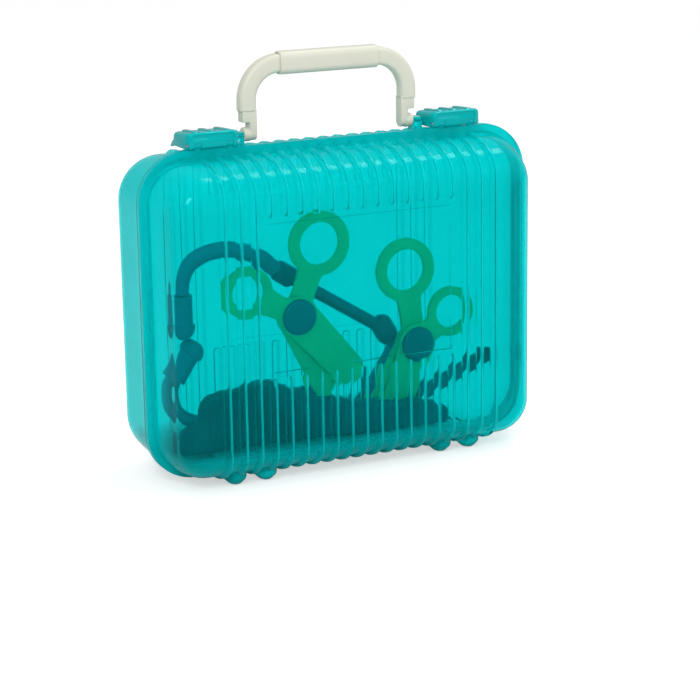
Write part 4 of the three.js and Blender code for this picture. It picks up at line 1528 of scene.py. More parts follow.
@dataclass
class Studio:
    """Pale floor, soft light and the camera, in metres and degrees."""

    focal: float = 113.49
    sensor: float = 36.0
    place: Point = (-0.6225, -1.2971, 0.4428)
    yaw: float = 26.14
    pitch: float = 14.48
    roll: float = -0.889
    shift: Pair = (-2.0 / 700, 1.1 / 700)
    view_end: float = 20
    world_light: Pair = (0.72, 0.42)
    floor_reach: float = 6.0
    floor_drop: float = 0.0002
    floor_grey: float = 0.6
    floor_roughness: float = 0.9
    floor_glow: float = 0.55

    def camera(self) -> None:
        """Places the camera at the photograph's viewing angle."""
        yaw, pitch, roll = (math.radians(a) for a in (self.yaw, self.pitch, self.roll))
        forward = Vector((
            math.sin(yaw) * math.cos(pitch), math.cos(yaw) * math.cos(pitch), -math.sin(pitch)
        ))
        right = Vector((math.cos(yaw), -math.sin(yaw), 0))
        up = right.cross(forward)
        level_right = right * math.cos(roll) + up * math.sin(roll)
        level_up = up * math.cos(roll) - right * math.sin(roll)
        data = bpy.data.cameras.new("camera")
        data.lens = self.focal
        data.sensor_width = self.sensor
        data.shift_x, data.shift_y = self.shift
        data.clip_end = self.view_end
        obj = linked("camera", data)
        basis = Matrix((level_right, level_up, -forward)).transposed().to_4x4()
        obj.matrix_world = Matrix.Translation(Vector(self.place)) @ basis
        bpy.context.scene.camera = obj

    def world(self) -> None:
        """White where it is seen, plain pale grey where it only lights, darker in reflections."""
        world = bpy.data.worlds.new("studio")
        world.use_nodes = True
        bpy.context.scene.world = world
        wiring = ShaderWiring(world.node_tree)
        path = wiring.node("ShaderNodeLightPath").outputs
        light = wiring.tree.nodes["Background"]
        wiring.feed(light.inputs["Color"], WHITE)
        strength = wiring.ramp(path["Is Glossy Ray"], wanted=self.world_light)
        wiring.feed(light.inputs["Strength"], strength)
        seen = wiring.node("ShaderNodeBackground", {"Color": WHITE, "Strength": 1.0})
        met = wiring.computed("MAXIMUM", path["Is Camera Ray"], path["Is Transmission Ray"])
        surface = wiring.choice(met, light, seen)
        wiring.feed(wiring.tree.nodes["World Output"].inputs["Surface"], surface)

    def floor(self) -> None:
        """A plain white floor that keeps the case's shadow."""
        far = self.floor_reach
        corners = [(x, y, 0) for x, y in rectangle((-far, -far), (far, far))]
        mesh = bpy.data.meshes.new("floor")
        mesh.from_pydata(corners, [], [(0, 1, 2, 3)])
        obj = linked("floor", mesh)
        obj.location.z = -self.floor_drop
        wiring = MaterialWiring("floor", {
            "Base Color": (*[self.floor_grey] * 3, 1),
            "Roughness": self.floor_roughness,
            "Specular IOR Level": 0.0,
        })
        glow = wiring.node("ShaderNodeEmission", {"Strength": self.floor_glow})
        inputs = {0: wiring.shader.outputs[0], 1: glow.outputs[0]}
        glowing = wiring.node("ShaderNodeAddShader", inputs)
        path = wiring.node("ShaderNodeLightPath").outputs
        mirrored = wiring.computed(
            "GREATER_THAN", path["Is Glossy Ray"], path["Is Transmission Ray"]
        )
        unlit = wiring.computed("MAXIMUM", path["Is Diffuse Ray"], mirrored)
        surface = wiring.choice(unlit, glowing, wiring.shader)
        wiring.feed(wiring.tree.nodes["Material Output"].inputs["Surface"], surface)
        mesh.materials.append(wiring.material)

    def lamp(self, lamp: Lamp) -> None:
        """Adds a lamp that points at the case.

        Args:
            lamp: Which one.
        """
        place, size, power = lamp.value
        data = bpy.data.lights.new(lamp.name.lower(), "AREA")
        data.shape = "RECTANGLE"
        data.size, data.size_y = size
        data.energy = power
        obj = linked(lamp.name.lower(), data)
        obj.location = place
        obj.rotation_euler = (Vector(MIDDLE) - Vector(place)).to_track_quat("-Z", "Y").to_euler()

    def build(self) -> None:
        """Builds the whole studio."""
        self.camera()
        self.world()
        self.floor()
        for lamp in Lamp:
            self.lamp(lamp)
        bpy.context.scene.view_settings.view_transform = "Standard"


# Handle and latches


BEND_STEPS = 14
GRIP_EDGE = ((0.0, 0.9), (0.08, 0.55), (0.3, 0.25), (0.62, 0.06), (1.0, 0.0))


@dataclass
class Handle(SubAssembly):
    """The folding handle: a U with stepped ends, and a thicker sleeve round its bar."""

    setback: float = 12
    pin_height: float = 223.2
    rise: float = 51.98
    bar: float = 12
    side_bar: float = 11.3
    inner_width: float = 104.8
    depth: float = 9.6
    edge_radius: float = 2.7
    end_round: float = 0.5
    sleeve_play: float = 0.1
    outer_corner: float = 29
    inner_corner: float = 17
    step: float = 1.4
    cover_rise: float = 15
    stop_rise: float = 8
    leg_width: float = 5.1
    disc_radius: float = 4.6
    disc_width: float = 4
    grip_height: float = 15
    grip_depth: float = 12.4
    grip_corner: float = 4.5

    def arch_stations(self) -> list[tuple[Pair, Pair]]:
        """Outer and inner points along the U, from the left end to the right."""
        inner_half = self.inner_width / 2
        outer_half = inner_half + self.side_bar
        outer_top = self.rise - (self.grip_height - self.bar) / 2
        inner_top = outer_top - self.bar
        bend = inner_top - self.inner_corner
        straight = spaced(self.cover_rise, bend, 3)[:-1]
        half = [((-outer_half, z), (-inner_half, z)) for z in straight]
        for k in range(BEND_STEPS + 1):
            angle = math.pi - k / BEND_STEPS * math.pi / 2
            half.append((
                (
                    -outer_half + self.outer_corner + self.outer_corner * math.cos(angle),
                    bend + (outer_top - bend) * math.sin(angle),
                ),
                (
                    -inner_half + self.inner_corner + self.inner_corner * math.cos(angle),
                    bend + self.inner_corner * math.sin(angle),
                ),
            ))
        other = [((-outer[0], outer[1]), (-inner[0], inner[1])) for outer, inner in reversed(half)]
        return half + other

    def arch(self) -> bpy.types.Mesh:
        """The U itself, round edged, with softened ends."""
        first, *between, last = self.arch_stations()
        ends = ((self.end_round, -0.01), (0.0, self.end_round))
        rings = [self.arch_ring(*first, *end) for end in ends]
        rings += [self.arch_ring(*station, 0.0, 0.0) for station in between]
        rings += [self.arch_ring(*last, *end) for end in reversed(ends)]
        return lofted("arch", rings)

    def arch_ring(self, outer: Pair, inner: Pair, shrink: float, lift: float) -> list[Point]:
        """Section of the U between an outer and an inner point.

        Args:
            outer: Outer point.
            inner: Inner point.
            shrink: How much smaller the section is all round.
            lift: How far it is moved up.

        Returns:
            The ring's points.
        """
        a, b = Vector(outer), Vector(inner)
        middle, along = (a + b) / 2, (a - b).normalized()
        half = (a - b).length / 2 - shrink
        section = rounded_box(half, self.depth / 2 - shrink, self.edge_radius - shrink, 5)
        return [
            (
                middle.x + along.x * u,
                self.setback + v,
                self.pin_height + middle.y + along.y * u + lift,
            )
            for u, v in section
        ]

    def leg(self, side: int) -> list[bpy.types.Mesh]:
        """The flat leg, the stop block and the pivot disc below one end of the U.

        Args:
            side: -1 for the left end, 1 for the right.

        Returns:
            The meshes.
        """
        inner = self.inner_width / 2
        leg = inner + self.leg_width
        stop = inner + self.side_bar - self.step
        face = leg + self.disc_width
        half = (self.depth - self.step) / 2
        top = self.pin_height + self.cover_rise + self.step
        round_end = arc((self.setback, self.pin_height), half, math.pi, 2 * math.pi, 17)
        outline = round_end + [(self.setback + half, top), (self.setback - half, top)]
        span = sorted((side * inner, side * leg))
        block = rectangle(
            (self.setback - half, self.pin_height + self.stop_rise), (self.setback + half, top)
        )
        block_span = sorted((side * (inner + 1), side * stop))
        disc = rounded_profile([
            (0, 0, 0), (self.disc_radius, 0, 0.3), (self.disc_radius, face - leg + 1, 0.9),
            (0, face - leg + 1, 0),
        ])
        start = (side * (leg - 1), self.setback, self.pin_height)
        solid = united([extruded(outline, *span, "x"), extruded(block, *block_span, "x")], [])
        return [bevelled(solid, 0.5, 3), turned(disc, 40, start, Vector((side, 0, 0)))]

    def grip(self) -> bpy.types.Mesh:
        """The sleeve round the bar, hollow, with rounded ends."""
        half = (self.inner_width - 2 * self.inner_corner) / 2
        middle = self.pin_height + self.rise - self.grip_height / 2
        play = self.sleeve_play

        def ring(x: float, shrink: float) -> list[Point]:
            """Outside section of the sleeve."""
            section = rounded_box(
                self.grip_depth / 2 - shrink, self.grip_height / 2 - shrink, self.grip_corner, 7
            )
            return [(x, self.setback + u, middle + v) for u, v in section]

        def channel(x: float) -> list[Point]:
            """Inside section of the sleeve."""
            section = rounded_box(self.depth / 2 + play, self.bar / 2 + play, self.edge_radius, 7)
            return [(x, self.setback + u, middle + v) for u, v in section]

        places = [(-half + along, shrink) for along, shrink in GRIP_EDGE]
        places += [(x, 0.0) for x in spaced(-half, half, 9)[1:-1]]
        places += [(half - along, shrink) for along, shrink in reversed(GRIP_EDGE)]
        outside = [ring(x, shrink) for x, shrink in places]
        rings = [channel(-half + 0.5), *outside, channel(half - 0.5)]
        return lofted("grip", rings, caps=False, around=True)

    def build(self) -> None:
        """Builds and dresses the handle."""
        bail = assembled("handle_bail_fine", [self.arch(), *self.leg(-1), *self.leg(1)])
        self.dress(bail, OFF_WHITE, "off_white", "handle", ["handle_bail"])
        grip = assembled("handle_grip_fine", [self.grip()])
        self.dress(grip, OFF_WHITE, "off_white", "handle", ["handle_grip"])


@dataclass
class Latches(SubAssembly):
    """The two snap latches: hollow, round cornered, with three finger ridges and a flared lip."""

    rim: RimSizes = field(default_factory=RimSizes)
    width: float = 36
    barrel: float = 2.4
    front_height: float = 10.6
    rear_height: float = 8.6
    length: float = 27
    wall: float = 1.8
    lip: float = 5.5
    corner: float = 3.6
    ridge_pitch: float = 10.8
    ridge_width: float = 3.6
    ridge_rise: float = 0.5
    ridge_length: float = 21.5
    ridge_fall: float = 1.2
    ridge_root: float = 3
    ridge_nose: Pair = (1.6, 1.2)
    ridge_tail: Pair = (0.5, 0.4)
    corner_fall: float = 0.75
    ear_width: float = 4
    ear_play: float = 0.15
    head_play: float = 0.35
    setback: float = -1.8
    nose_setback: float = 9
    nose_depth: float = 3
    nose_top: float = 5
    nose_width: float = 16
    axle_inset: float = 2.5
    window: Pair = (2.9, 6.8)

    @property
    def pin(self) -> float:
        """Height of the latch's pin."""
        return self.rim.top + self.rim.seat_gap + self.barrel

    def block(self, shrink: float, low: float) -> bpy.types.Mesh:
        """The latch's body with round corners.

        Args:
            shrink: How much smaller it is all round, for the hollow.
            low: Height of its underside, about the pin.

        Returns:
            The mesh.
        """
        rear = self.length - self.barrel
        front = -self.barrel
        top_round, low_round = (2.6, 2.1) if shrink == 0 else (1.2, 0.2)
        outline = rounded_profile([
            (front + shrink, 2, 0),
            (front + shrink, self.front_height - self.barrel - shrink, top_round),
            (rear - shrink, self.rear_height - self.barrel - shrink, 3.0),
            (rear + 1.2 - shrink, low, 0.3),
            (front + shrink, low, low_round),
            (front + shrink, 1, 0),
        ], 6)
        middle = (front + rear) / 2
        radius = max(self.corner - shrink, 0.3)
        rings = []
        half = self.width / 2 - shrink
        turns = [k / 6 * math.pi / 2 for k in range(7)]
        ends = [(half - radius * (1 - math.sin(a)), radius * (1 - math.cos(a))) for a in turns]
        places = [(-x, inset) for x, inset in reversed(ends)] + ends
        for x, inset in places:
            squeeze = 1 - inset / (self.length / 2)
            drop = 1 - inset * self.corner_fall / self.front_height
            rings.append([
                (x, middle + (y - middle) * squeeze, low + (z - low) * drop) for y, z in outline
            ])
        return lofted("block", rings)

    def ridge(self, place: float) -> bpy.types.Mesh:
        """Finger ridge: a long fin that falls with the top and stands prouder behind."""
        front = -self.barrel + self.wall
        rear = front + self.ridge_length
        crest = self.front_height - self.barrel + self.ridge_rise
        end = crest - self.ridge_fall
        (nose_run, nose_drop), (tail_run, tail_drop) = self.ridge_nose, self.ridge_tail
        outline = [
            (front, crest - self.ridge_root), (rear, end - self.ridge_root),
            (rear, end - tail_drop), (rear - tail_run, end), (front + nose_run, crest),
            (front, crest - nose_drop),
        ]
        half = self.ridge_width / 2
        return bevelled(extruded(outline, place - half, place + half, "x"), 0.5, 3)

    def flare(self) -> bpy.types.Mesh:
        """The lip behind that a finger lifts."""
        rear, low = self.length - self.barrel, -self.barrel
        outline = [
            (rear - 3, low + 3), (rear - 3, low), (rear, low - 0.3),
            (rear + self.lip - 0.4, low - self.wall), (rear + self.lip, low - self.wall + 0.4),
            (rear + self.lip - 0.3, low - self.wall / 3), (rear + 1.2, 0.6),
        ]
        half = self.width / 2 - 0.8
        return bevelled(extruded(outline, -half, half, "x"), 0.3, 2)

    def solid(self) -> bpy.types.Mesh:
        """The whole latch about its pin."""
        half, low, radius = self.width / 2, -self.barrel, self.barrel
        span = 2 * half - 2 * self.axle_inset
        profile = [
            (0, 0), (radius - 0.3, 0), (radius, 0.3), (radius, span - 0.3), (radius - 0.3, span),
            (0, span),
        ]
        axle = turned(profile, 32, (-half + self.axle_inset, 0, 0), Vector((1, 0, 0)))
        front, nose_half = self.nose_setback - self.setback, self.nose_width / 2
        outline = rectangle((front, low), (front + self.nose_depth, self.nose_top))
        nose = extruded(outline, -nose_half, nose_half, "x")
        shell = united([self.block(0, low), self.flare()], [self.block(self.wall, low - 1)])
        ridges = [self.ridge(place * self.ridge_pitch) for place in (-1, 0, 1)]
        gap = self.ear_width / 2 + self.ear_play
        notch = circle((0, 0), radius + self.head_play, 40)
        notches = [extruded(notch, x - gap, x + gap, "x") for x in (-EAR_SPREAD, EAR_SPREAD)]
        bore = extruded(circle((0, 0), BORE_RADIUS, 32), -half - 1, half + 1, "x")
        under, over = self.window
        outline = [
            (low - 1, under), (low + 0.35, under), (low + 0.6, under + 0.4),
            (low + 0.6, over - 0.4), (low + 0.35, over), (low - 1, over),
        ]
        window = extruded(outline, -half + 4, half - 4, "x")
        return united([shell, axle, nose, *ridges], [*notches, bore, window])

    def build(self) -> None:
        """Builds and dresses both latches."""
        for side, name in ((-1, "left"), (1, "right")):
            mesh = bevelled(self.solid(), 0.18, 2)
            shift = Vector((side * LATCH_SPREAD, self.setback, self.pin)) * MILLIMETRE
            mesh.transform(Matrix.Translation(shift))
            obj = assembled(f"latch_{name}_moulded", [mesh], 40)
            self.dress(obj, LATCH_TEAL, "solid_teal", f"latch_{name}_body", [f"latch_{name}"])


# Toy instruments


class Side(Enum):
    """Which half of a pair of scissors: its place before the middle and its ring's size."""

    FRONT = (-1.65, 17.5, 11.5)
    REAR = (1.65, 22.0, 14.4)


@dataclass(frozen=True)
class Half:
    """Reach and lean of a scissor half's ring, length and lean of its blade."""

    reach: float
    ring_lean: float
    blade: float
    blade_lean: float


@dataclass
class Scissors(SubAssembly):
    """Toy scissors: two flat halves on a rivet between two domed caps."""

    name: str = "scissors_a"
    pivot: Point = (-26.7, 9.15, 99.2)
    front: Half = Half(41.3, -60.9, 65, 42)
    rear: Half = Half(50.5, 20.6, 62.5, 24)
    plate: float = 3
    blade_width: float = 27
    tip_width: float = 22
    boss: float = 14
    shank: float = 20
    waist: float = 0.8
    rivet: float = 3
    rivet_play: float = 0.25
    cap_gap: float = 0.45
    front_cap: float = 12.2
    rear_cap: float = 10.9
    cap_height: float = 4

    def turned_outline(self, outline: list[Pair], lean: float) -> list[Pair]:
        """Leans an outline about the pivot.

        Args:
            outline: Points across and up, drawn upright about the origin.
            lean: Lean from straight up towards +x, in degrees.

        Returns:
            The points in the case's (x, z).
        """
        angle = math.radians(lean)
        return [
            (
                self.pivot[0] + a * math.cos(angle) + b * math.sin(angle),
                self.pivot[2] - a * math.sin(angle) + b * math.cos(angle),
            )
            for a, b in outline
        ]

    def half_mesh(self, half: Half, side: Side) -> bpy.types.Mesh:
        """One half: finger ring, shank, boss and blade, with round edges.

        Args:
            half: Its reach, lengths and leans.
            side: Which half it is.

        Returns:
            The mesh.
        """
        place, ring, hole = side.value
        middle = self.pivot[1] + place
        low, high = middle - self.plate / 2, middle + self.plate / 2
        tip = self.tip_width / 2
        end = tip - half.blade
        blade = [
            (-self.blade_width / 2, 0.0), *arc((0.0, end), tip, math.pi, 2 * math.pi, 25),
            (self.blade_width / 2, 0.0),
        ]
        reach = half.reach - hole
        widths = [
            (self.shank / 2 * (1 - (1 - self.waist) * math.sin(math.pi * t)), reach * t)
            for t in spaced(0, 1, 9)
        ]
        shank = [(-w, z) for w, z in reversed(widths)] + widths
        across, up = leaning(half.reach, half.ring_lean)
        centre = (self.pivot[0] + across, self.pivot[2] + up)
        pivot = (self.pivot[0], self.pivot[2])
        solids = [
            extruded(self.turned_outline(blade, -half.blade_lean), low, high, "y"),
            extruded(circle(pivot, self.boss), low, high, "y"),
            extruded(self.turned_outline(shank, half.ring_lean), low, high, "y"),
            extruded(circle(centre, ring, 72), low, high, "y"),
        ]
        holes = [
            extruded(circle(centre, hole, 64), low - 2, high + 2, "y"),
            extruded(circle(pivot, self.rivet + self.rivet_play, 32), low - 2, high + 2, "y"),
        ]
        return bevelled(united(solids, holes), 0.7, 3)

    def cap(self, side: Side) -> list[bpy.types.Mesh]:
        """One domed cap, the front one with the rivet.

        Args:
            side: Which half it closes.

        Returns:
            The meshes.
        """
        sign = -1 if side is Side.FRONT else 1
        radius = self.front_cap if side is Side.FRONT else self.rear_cap
        base = self.plate + self.cap_gap
        start = (self.pivot[0], self.pivot[1] + sign * base, self.pivot[2])
        dome = [
            (0, 0), (radius - 0.3, 0), (radius, 0.3), (radius, 1.1), (radius * 0.985, 1.6),
            (radius * 0.95, 2.15), (radius * 0.88, 2.75), (radius * 0.75, 3.3),
            (radius * 0.58, 3.68), (radius * 0.38, 3.88), (radius * 0.18, 3.98),
            (0, self.cap_height),
        ]
        meshes = [turned(dome, 56, start, Vector((0, sign, 0)))]
        if side is Side.FRONT:
            end = 2 * base - 0.3
            rivet = [(0, -0.2), (self.rivet, -0.2), (self.rivet, end), (0, end)]
            meshes.append(turned(rivet, 24, start, Vector((0, 1, 0))))
        return meshes

    def build(self) -> None:
        """Builds and dresses the four pieces."""
        moving = f"{self.name}_front"
        for side, half, body in ((Side.FRONT, self.front, moving), (Side.REAR, self.rear, "base")):
            word = side.name.lower()
            plate = assembled(f"{self.name}_{word}_plate", [self.half_mesh(half, side)])
            self.dress(plate, GREEN, "green", body, [f"{self.name}_{word}_half"])
            cap = assembled(f"{self.name}_{word}_dome", self.cap(side))
            self.dress(cap, NAVY, "navy", "base", [f"{self.name}_{word}_cap"])


SPLINE_ROUNDS = (((0, 1, 2), 1), ((0, 1), 2), ((1,), 1))


def between(near: Vector, far: Vector, start: float, end: float, t: float) -> Vector:
    """Point between two others, at a place between two knots."""
    return near * ((end - t) / (end - start)) + far * ((t - start) / (end - start))


def smooth_path(points: list[Point], steps: int) -> list[Point]:
    """Runs a smooth curve through points, as a centripetal spline.

    Args:
        points: The points.
        steps: Points of the curve for each span.

    Returns:
        The curve's points.
    """
    places = [Vector(p) for p in points]
    first = places[0] * 2 - places[1]
    last = places[-1] * 2 - places[-2]
    chain = [first, *places, last]
    path: list[Point] = []
    for i in range(1, len(chain) - 2):
        span = chain[i - 1:i + 3]
        knots = [0.0]
        for near, far in zip(span, span[1:]):
            knots.append(knots[-1] + max((far - near).length, 0.001) ** 0.5)
        for k in range(steps):
            t = knots[1] + (knots[2] - knots[1]) * k / steps
            left = span
            for lows, reach in SPLINE_ROUNDS:
                left = [
                    between(left[n], left[n + 1], knots[low], knots[low + reach], t)
                    for n, low in enumerate(lows)
                ]
            path.append(tuple(left[0]))
    path.append(tuple(places[-1]))
    return path


@dataclass
class Stethoscope(SubAssembly):
    """The headset: two ear tips, two tubes, a collar, and an arm that ends in a yoke."""

    plane: float = 36
    upper_radius: float = 5.5
    lower_radius: float = 4.7
    arm_radius: float = 4.4
    sleeve_radius: float = 7.7
    sleeve_length: float = 20
    bulb_radius: float = 9.2
    bulb_length: float = 10
    first_tip: Pair = (-98.4, 116.2)
    second_tip: Pair = (-106.1, 59.8)
    second_lean: float = 37
    collar_place: Pair = (-23.4, 122.4)
    collar_radius: float = 7.4
    collar_length: float = 14
    arm_lean: float = 123.5
    yoke_place: Pair = (51.6, 75)
    yoke_lean: float = 150
    yoke_radius: float = 7.8
    yoke_length: float = 17
    fork_radius: float = 2.4
    fork_length: float = 11
    fork_lean: float = -26
    floor: float = 14.53
    gap: float = 0.3

    def away(self, place: Pair, distance: float, lean: float) -> Pair:
        """Place a step away from another, along a lean."""
        across, up = leaning(distance, lean)
        return place[0] + across, place[1] + up

    def at(self, place: Pair) -> Point:
        """The same place as a point in the headset's plane."""
        return place[0], self.plane, place[1]

    def lathe(
        self, corners: list[tuple[float, float, float]], place: Pair, lean: float
    ) -> bpy.types.Mesh:
        """Turned piece that starts at a place and leans from straight up."""
        across, up = leaning(1, lean)
        return turned(rounded_profile(corners), 40, self.at(place), Vector((across, 0, up)))

    def tip(self, place: Pair, lean: float) -> bpy.types.Mesh:
        """Soft ear tip: a sleeve that ends in a wider bulb."""
        end = self.sleeve_length + self.bulb_length
        bulb, sleeve = self.bulb_radius, self.sleeve_radius
        return self.lathe([
            (0, 0, 0), (sleeve, 0, 0.7), (sleeve, self.sleeve_length - 0.4, 0.5),
            (bulb, self.sleeve_length, 0.8), (bulb, self.sleeve_length + 3.4, 2.2),
            (bulb * 0.82, end - 3.2, 2.4), (bulb * 0.5, end - 0.6, 1.6), (0, end, 0),
        ], place, lean)

    def collar(self) -> bpy.types.Mesh:
        """Stepped sleeve where the tube plugs into the arm."""
        radius, length = self.collar_radius, self.collar_length
        flare = radius - self.upper_radius
        start = self.away(self.collar_place, -length / 2, self.arm_lean)
        return self.lathe([
            (0, 0, 0), (radius - flare / 2, 0, 0.5), (radius, flare, 0.6),
            (radius, length / 2 - 0.8, 0.2), (radius - 0.5, length / 2 - 0.4, 0.2),
            (radius - 0.5, length / 2 + 0.4, 0.2), (radius, length / 2 + 0.8, 0.2),
            (radius, length - flare, 0.6), (radius - flare / 2, length, 0.5), (0, length, 0),
        ], start, self.arm_lean)

    def yoke(self) -> list[bpy.types.Mesh]:
        """Stiff arm from the collar to the yoke that takes the lower tube."""
        start = self.away(self.collar_place, self.collar_length / 2 + self.gap, self.arm_lean)
        across, drop = self.yoke_place[0] - start[0], self.yoke_place[1] - start[1]
        lean = math.degrees(math.atan2(across, drop))
        length = math.hypot(across, drop)
        arm = self.lathe(
            [(0, 0, 0), (self.arm_radius, 0, 0.5), (self.arm_radius, length, 0.5), (0, length, 0)],
            start, lean,
        )
        neck = self.yoke_radius - self.arm_radius
        body = self.lathe([
            (0, 0, 0), (self.arm_radius + neck / 2, 0, 0.8), (self.yoke_radius, neck, 1.2),
            (self.yoke_radius, self.yoke_length - neck, 1.6),
            (self.lower_radius + neck / 2, self.yoke_length, 0.8), (0, self.yoke_length, 0),
        ], self.away(self.yoke_place, -self.yoke_length / 2, self.yoke_lean), self.yoke_lean)
        radius, length = self.fork_radius, self.fork_length
        fork = self.lathe(
            [(0, 0, 0), (radius, 0, 0.2), (radius, length, 1.0), (0, length, 0)],
            self.yoke_place, self.fork_lean,
        )
        return [arm, body, fork]

    def upper_path(self) -> list[Point]:
        """Path of the tube from the first ear tip to the collar."""
        x, z = self.first_tip
        bends = [
            (x, z + self.gap), (-98.3, 120), (-97.2, 126.5), (-92, 135.6), (-81.2, 141.8),
            (-66, 143.6), (-51.7, 140.6), (-37.6, 133.4),
            self.away(
                self.collar_place,
                -self.collar_length / 2 - self.gap - self.upper_radius, self.arm_lean,
            ),
            self.away(self.collar_place, -self.collar_length / 2 - self.gap, self.arm_lean),
        ]
        return smooth_path([self.at(place) for place in bends], 12)

    def lower_path(self) -> list[Point]:
        """Path of the tube from the second ear tip, along the floor and up to the yoke."""
        outlet = self.away(self.yoke_place, self.yoke_length / 2 + self.gap, self.yoke_lean)
        bends = [
            self.away(self.second_tip, -self.gap, self.second_lean),
            self.away(self.second_tip, -self.gap - self.lower_radius, self.second_lean),
            (-110, 50), (-108.6, 43), (-104.8, 36.4), (-97.4, 31), (-86, 27.3), (-70, 23.5),
            (-52, 18.4), (-36, self.floor + self.gap), (-24, self.floor), (2, self.floor),
            (13, self.floor + self.gap), (27, 20.5), (38, 31), (45.6, 42), (52, 51), (56.8, 58.5),
            self.away(outlet, self.lower_radius, self.yoke_lean),
            outlet,
        ]
        return smooth_path([self.at(place) for place in bends], 10)

    def build(self) -> None:
        """Builds and dresses the headset's six pieces."""
        tubes = (
            ("upper", self.upper_path(), self.upper_radius),
            ("lower", self.lower_path(), self.lower_radius),
        )
        for name, path, radius in tubes:
            mesh = self.tubes.tube(path, radius, 28)
            obj = assembled(f"{name}_tube", [tidied(mesh)])
            self.dress(obj, RUBBER, "dark_blue_rubber", "base", [f"stethoscope_{name}_tube"])
        for name, place, lean in (
            ("upper", self.first_tip, 180.0), ("lower", self.second_tip, self.second_lean)
        ):
            obj = assembled(f"{name}_ear_tip", [self.tip(place, lean)])
            self.dress(obj, RUBBER, "dark_blue_rubber", "base", [f"ear_tip_{name}"])
        collar = assembled("tube_collar", [self.collar()])
        self.dress(collar, NAVY, "navy", "base", ["stethoscope_collar"])
        yoke = assembled("arm_and_yoke", self.yoke())
        self.dress(yoke, NAVY, "navy", "base", ["stethoscope_yoke"])


CREASES = ((1.2, 0.17, 0.0), (0.5, 0.53, 1.0))
FOLDS = ((0.35, 0.47, 0.16), (0.25, 1.1, -0.2))
FOLD_INSET = 0.6
FLAT_SHARE = 0.8
HEM_DROP = 2.1
HEM_HEIGHT = 5.0
HEM_WIDTH = 1.2
END_STEPS = 6
END_ROUND = 4.0


@dataclass
class ArmCuff(SubAssembly):
    """The folded cuff on its edge, creased and folded, with a bound upper hem."""

    thickness: float = 11
    foot: float = 10.2
    lean_y: float = 18.1

    def stations(self) -> list[Point]:
        """x, y and top of the band along its length."""
        return [
            (-110, 23, 27), (-106, 23, 31), (-99, 22.5, 33), (-94, 22, 35), (-91, 22, 46),
            (-86, 22, 50), (-76, 22, 52.5), (-62, 22, 54.8), (-44, 22, 55.5),
            (-22, self.lean_y, 50), (-9, self.lean_y, 47.5), (1, self.lean_y, 43.5), (8, 14.4, 40),
            (22, 11, 36), (45, 9.4, 33.8), (78, 9.4, 29), (86, 9.4, 25.5),
        ]

    def band(self) -> bpy.types.Mesh:
        """The band itself: a thick, soft-edged strip with a creased upper edge."""
        path = smooth_path(self.stations(), 12)
        rings = []
        for i, (x, y, top) in enumerate(path):
            before, after = path[max(i - 1, 0)], path[min(i + 1, len(path) - 1)]
            along = Vector((after[0] - before[0], after[1] - before[1])).normalized()
            end = min(i, len(path) - 1 - i)
            short = 1 - end / END_STEPS if end < END_STEPS else 0.0
            shrink = END_ROUND * (1 - math.sqrt(1 - short ** 2))
            half = self.thickness / 2 - shrink * 0.7
            crease = sum(size * math.sin(x * turn + start) for size, turn, start in CREASES)
            top -= HEM_DROP + crease
            height = (top - self.foot) / 2 - shrink
            middle = (top + self.foot) / 2
            ring = []
            for across, up in rounded_box(half, height, min(3.4, half - 0.2), 7):
                if abs(across) > half * FLAT_SHARE:
                    pinch = 0.5 * math.exp(-((height - up - HEM_HEIGHT) / HEM_WIDTH) ** 2)
                    fold = sum(size * math.sin(x * a + up * b) for size, a, b in FOLDS)
                    across -= math.copysign(pinch + FOLD_INSET + fold, across)
                ring.append((x - along.y * across, y + along.x * across, middle + up))
            rings.append(ring)
        return lofted("band", rings)

    def build(self) -> None:
        """Builds and dresses the cuff."""
        obj = assembled("arm_cuff_band", [self.band()], 60)
        self.dress(obj, DARK_BLUE, "dark_blue", "base", ["arm_cuff"])


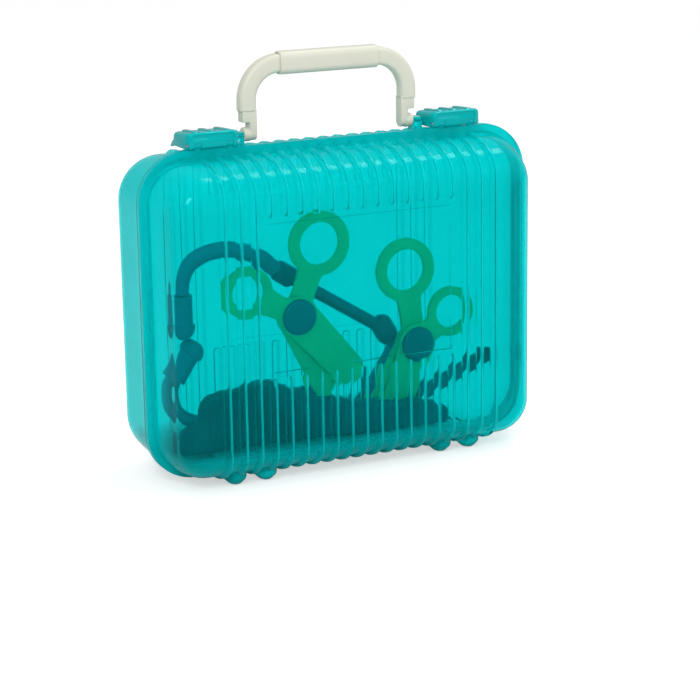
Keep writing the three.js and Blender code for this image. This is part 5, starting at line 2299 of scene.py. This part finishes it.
@dataclass
class ToolHandle(SubAssembly):
    """The slanting bar at the right: a flat, round-ended grip."""

    width: float = 9.4
    thickness: float = 6.4
    y: float = 26.8
    start: float = 46

    def build(self) -> None:
        """Builds and dresses the bar."""
        cad_low, cad_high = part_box("tool_handle")
        radius = self.width / 2
        low = (self.start, cad_low.z / MILLIMETRE + radius)
        high = (cad_high.x / MILLIMETRE - radius, cad_high.z / MILLIMETRE - radius)
        angle = math.atan2(high[1] - low[1], high[0] - low[0])
        turns = [angle + k * math.pi / 2 for k in (-1, 1, 3)]
        outline = arc(high, radius, *turns[:2], 17) + arc(low, radius, *turns[1:], 17)
        half = self.thickness / 2
        mesh = bevelled(extruded(outline, self.y - half, self.y + half, "y"), 1.6, 4)
        obj = assembled("tool_handle_bar", [mesh])
        self.dress(obj, DARK_BLUE, "dark_blue", "base", ["tool_handle"])


@dataclass
class Hardware(SubAssembly):
    """Pieces whose CAD shape is right as it is."""

    finishes: tuple[tuple[Finish, tuple[str, ...]], ...] = (
        (STEEL, ("hinge_pin_left", "hinge_pin_right", "latch_pin_left", "latch_pin_right")),
        (OFF_WHITE, ("handle_pin_left", "handle_pin_right")),
    )

    def build(self) -> None:
        """Gives each piece its material."""
        for finish, nodes in self.finishes:
            for node in nodes:
                self.repaint(node, finish)


def standing_height() -> float:
    """Height of the second scissors' pivot, whose round blade tip stands on the bottom wall."""
    lift, overhang, draft, wall = 3, 4, 1.5, 2
    place, depth, gap = 20, 45, 0.3
    tip, blade, lean = 11.0, 60, 21.7
    floor = lift + overhang + draft * place / depth + wall
    return floor + gap + tip + (blade - tip) * math.cos(math.radians(lean))


PARTS = (
    Lid, BackShell, Handle, Latches, Hardware, Scissors, Stethoscope, ArmCuff, ToolHandle,
)


def main() -> None:
    """Builds the case piece by piece."""
    logging.basicConfig(level=logging.INFO, format="%(message)s", stream=sys.stdout)
    tools = (Paints(), RowTree(), TubeTree())
    for part in PARTS:
        part(*tools).build()
    Scissors(
        *tools, name="scissors_b", pivot=(67.7, 20, standing_height()),
        front=Half(33, 52.9, 60, -21.7), rear=Half(52.6, -7.4, 60, -31),
    ).build()
    Studio().build()


if __name__ == "__main__":
    main()
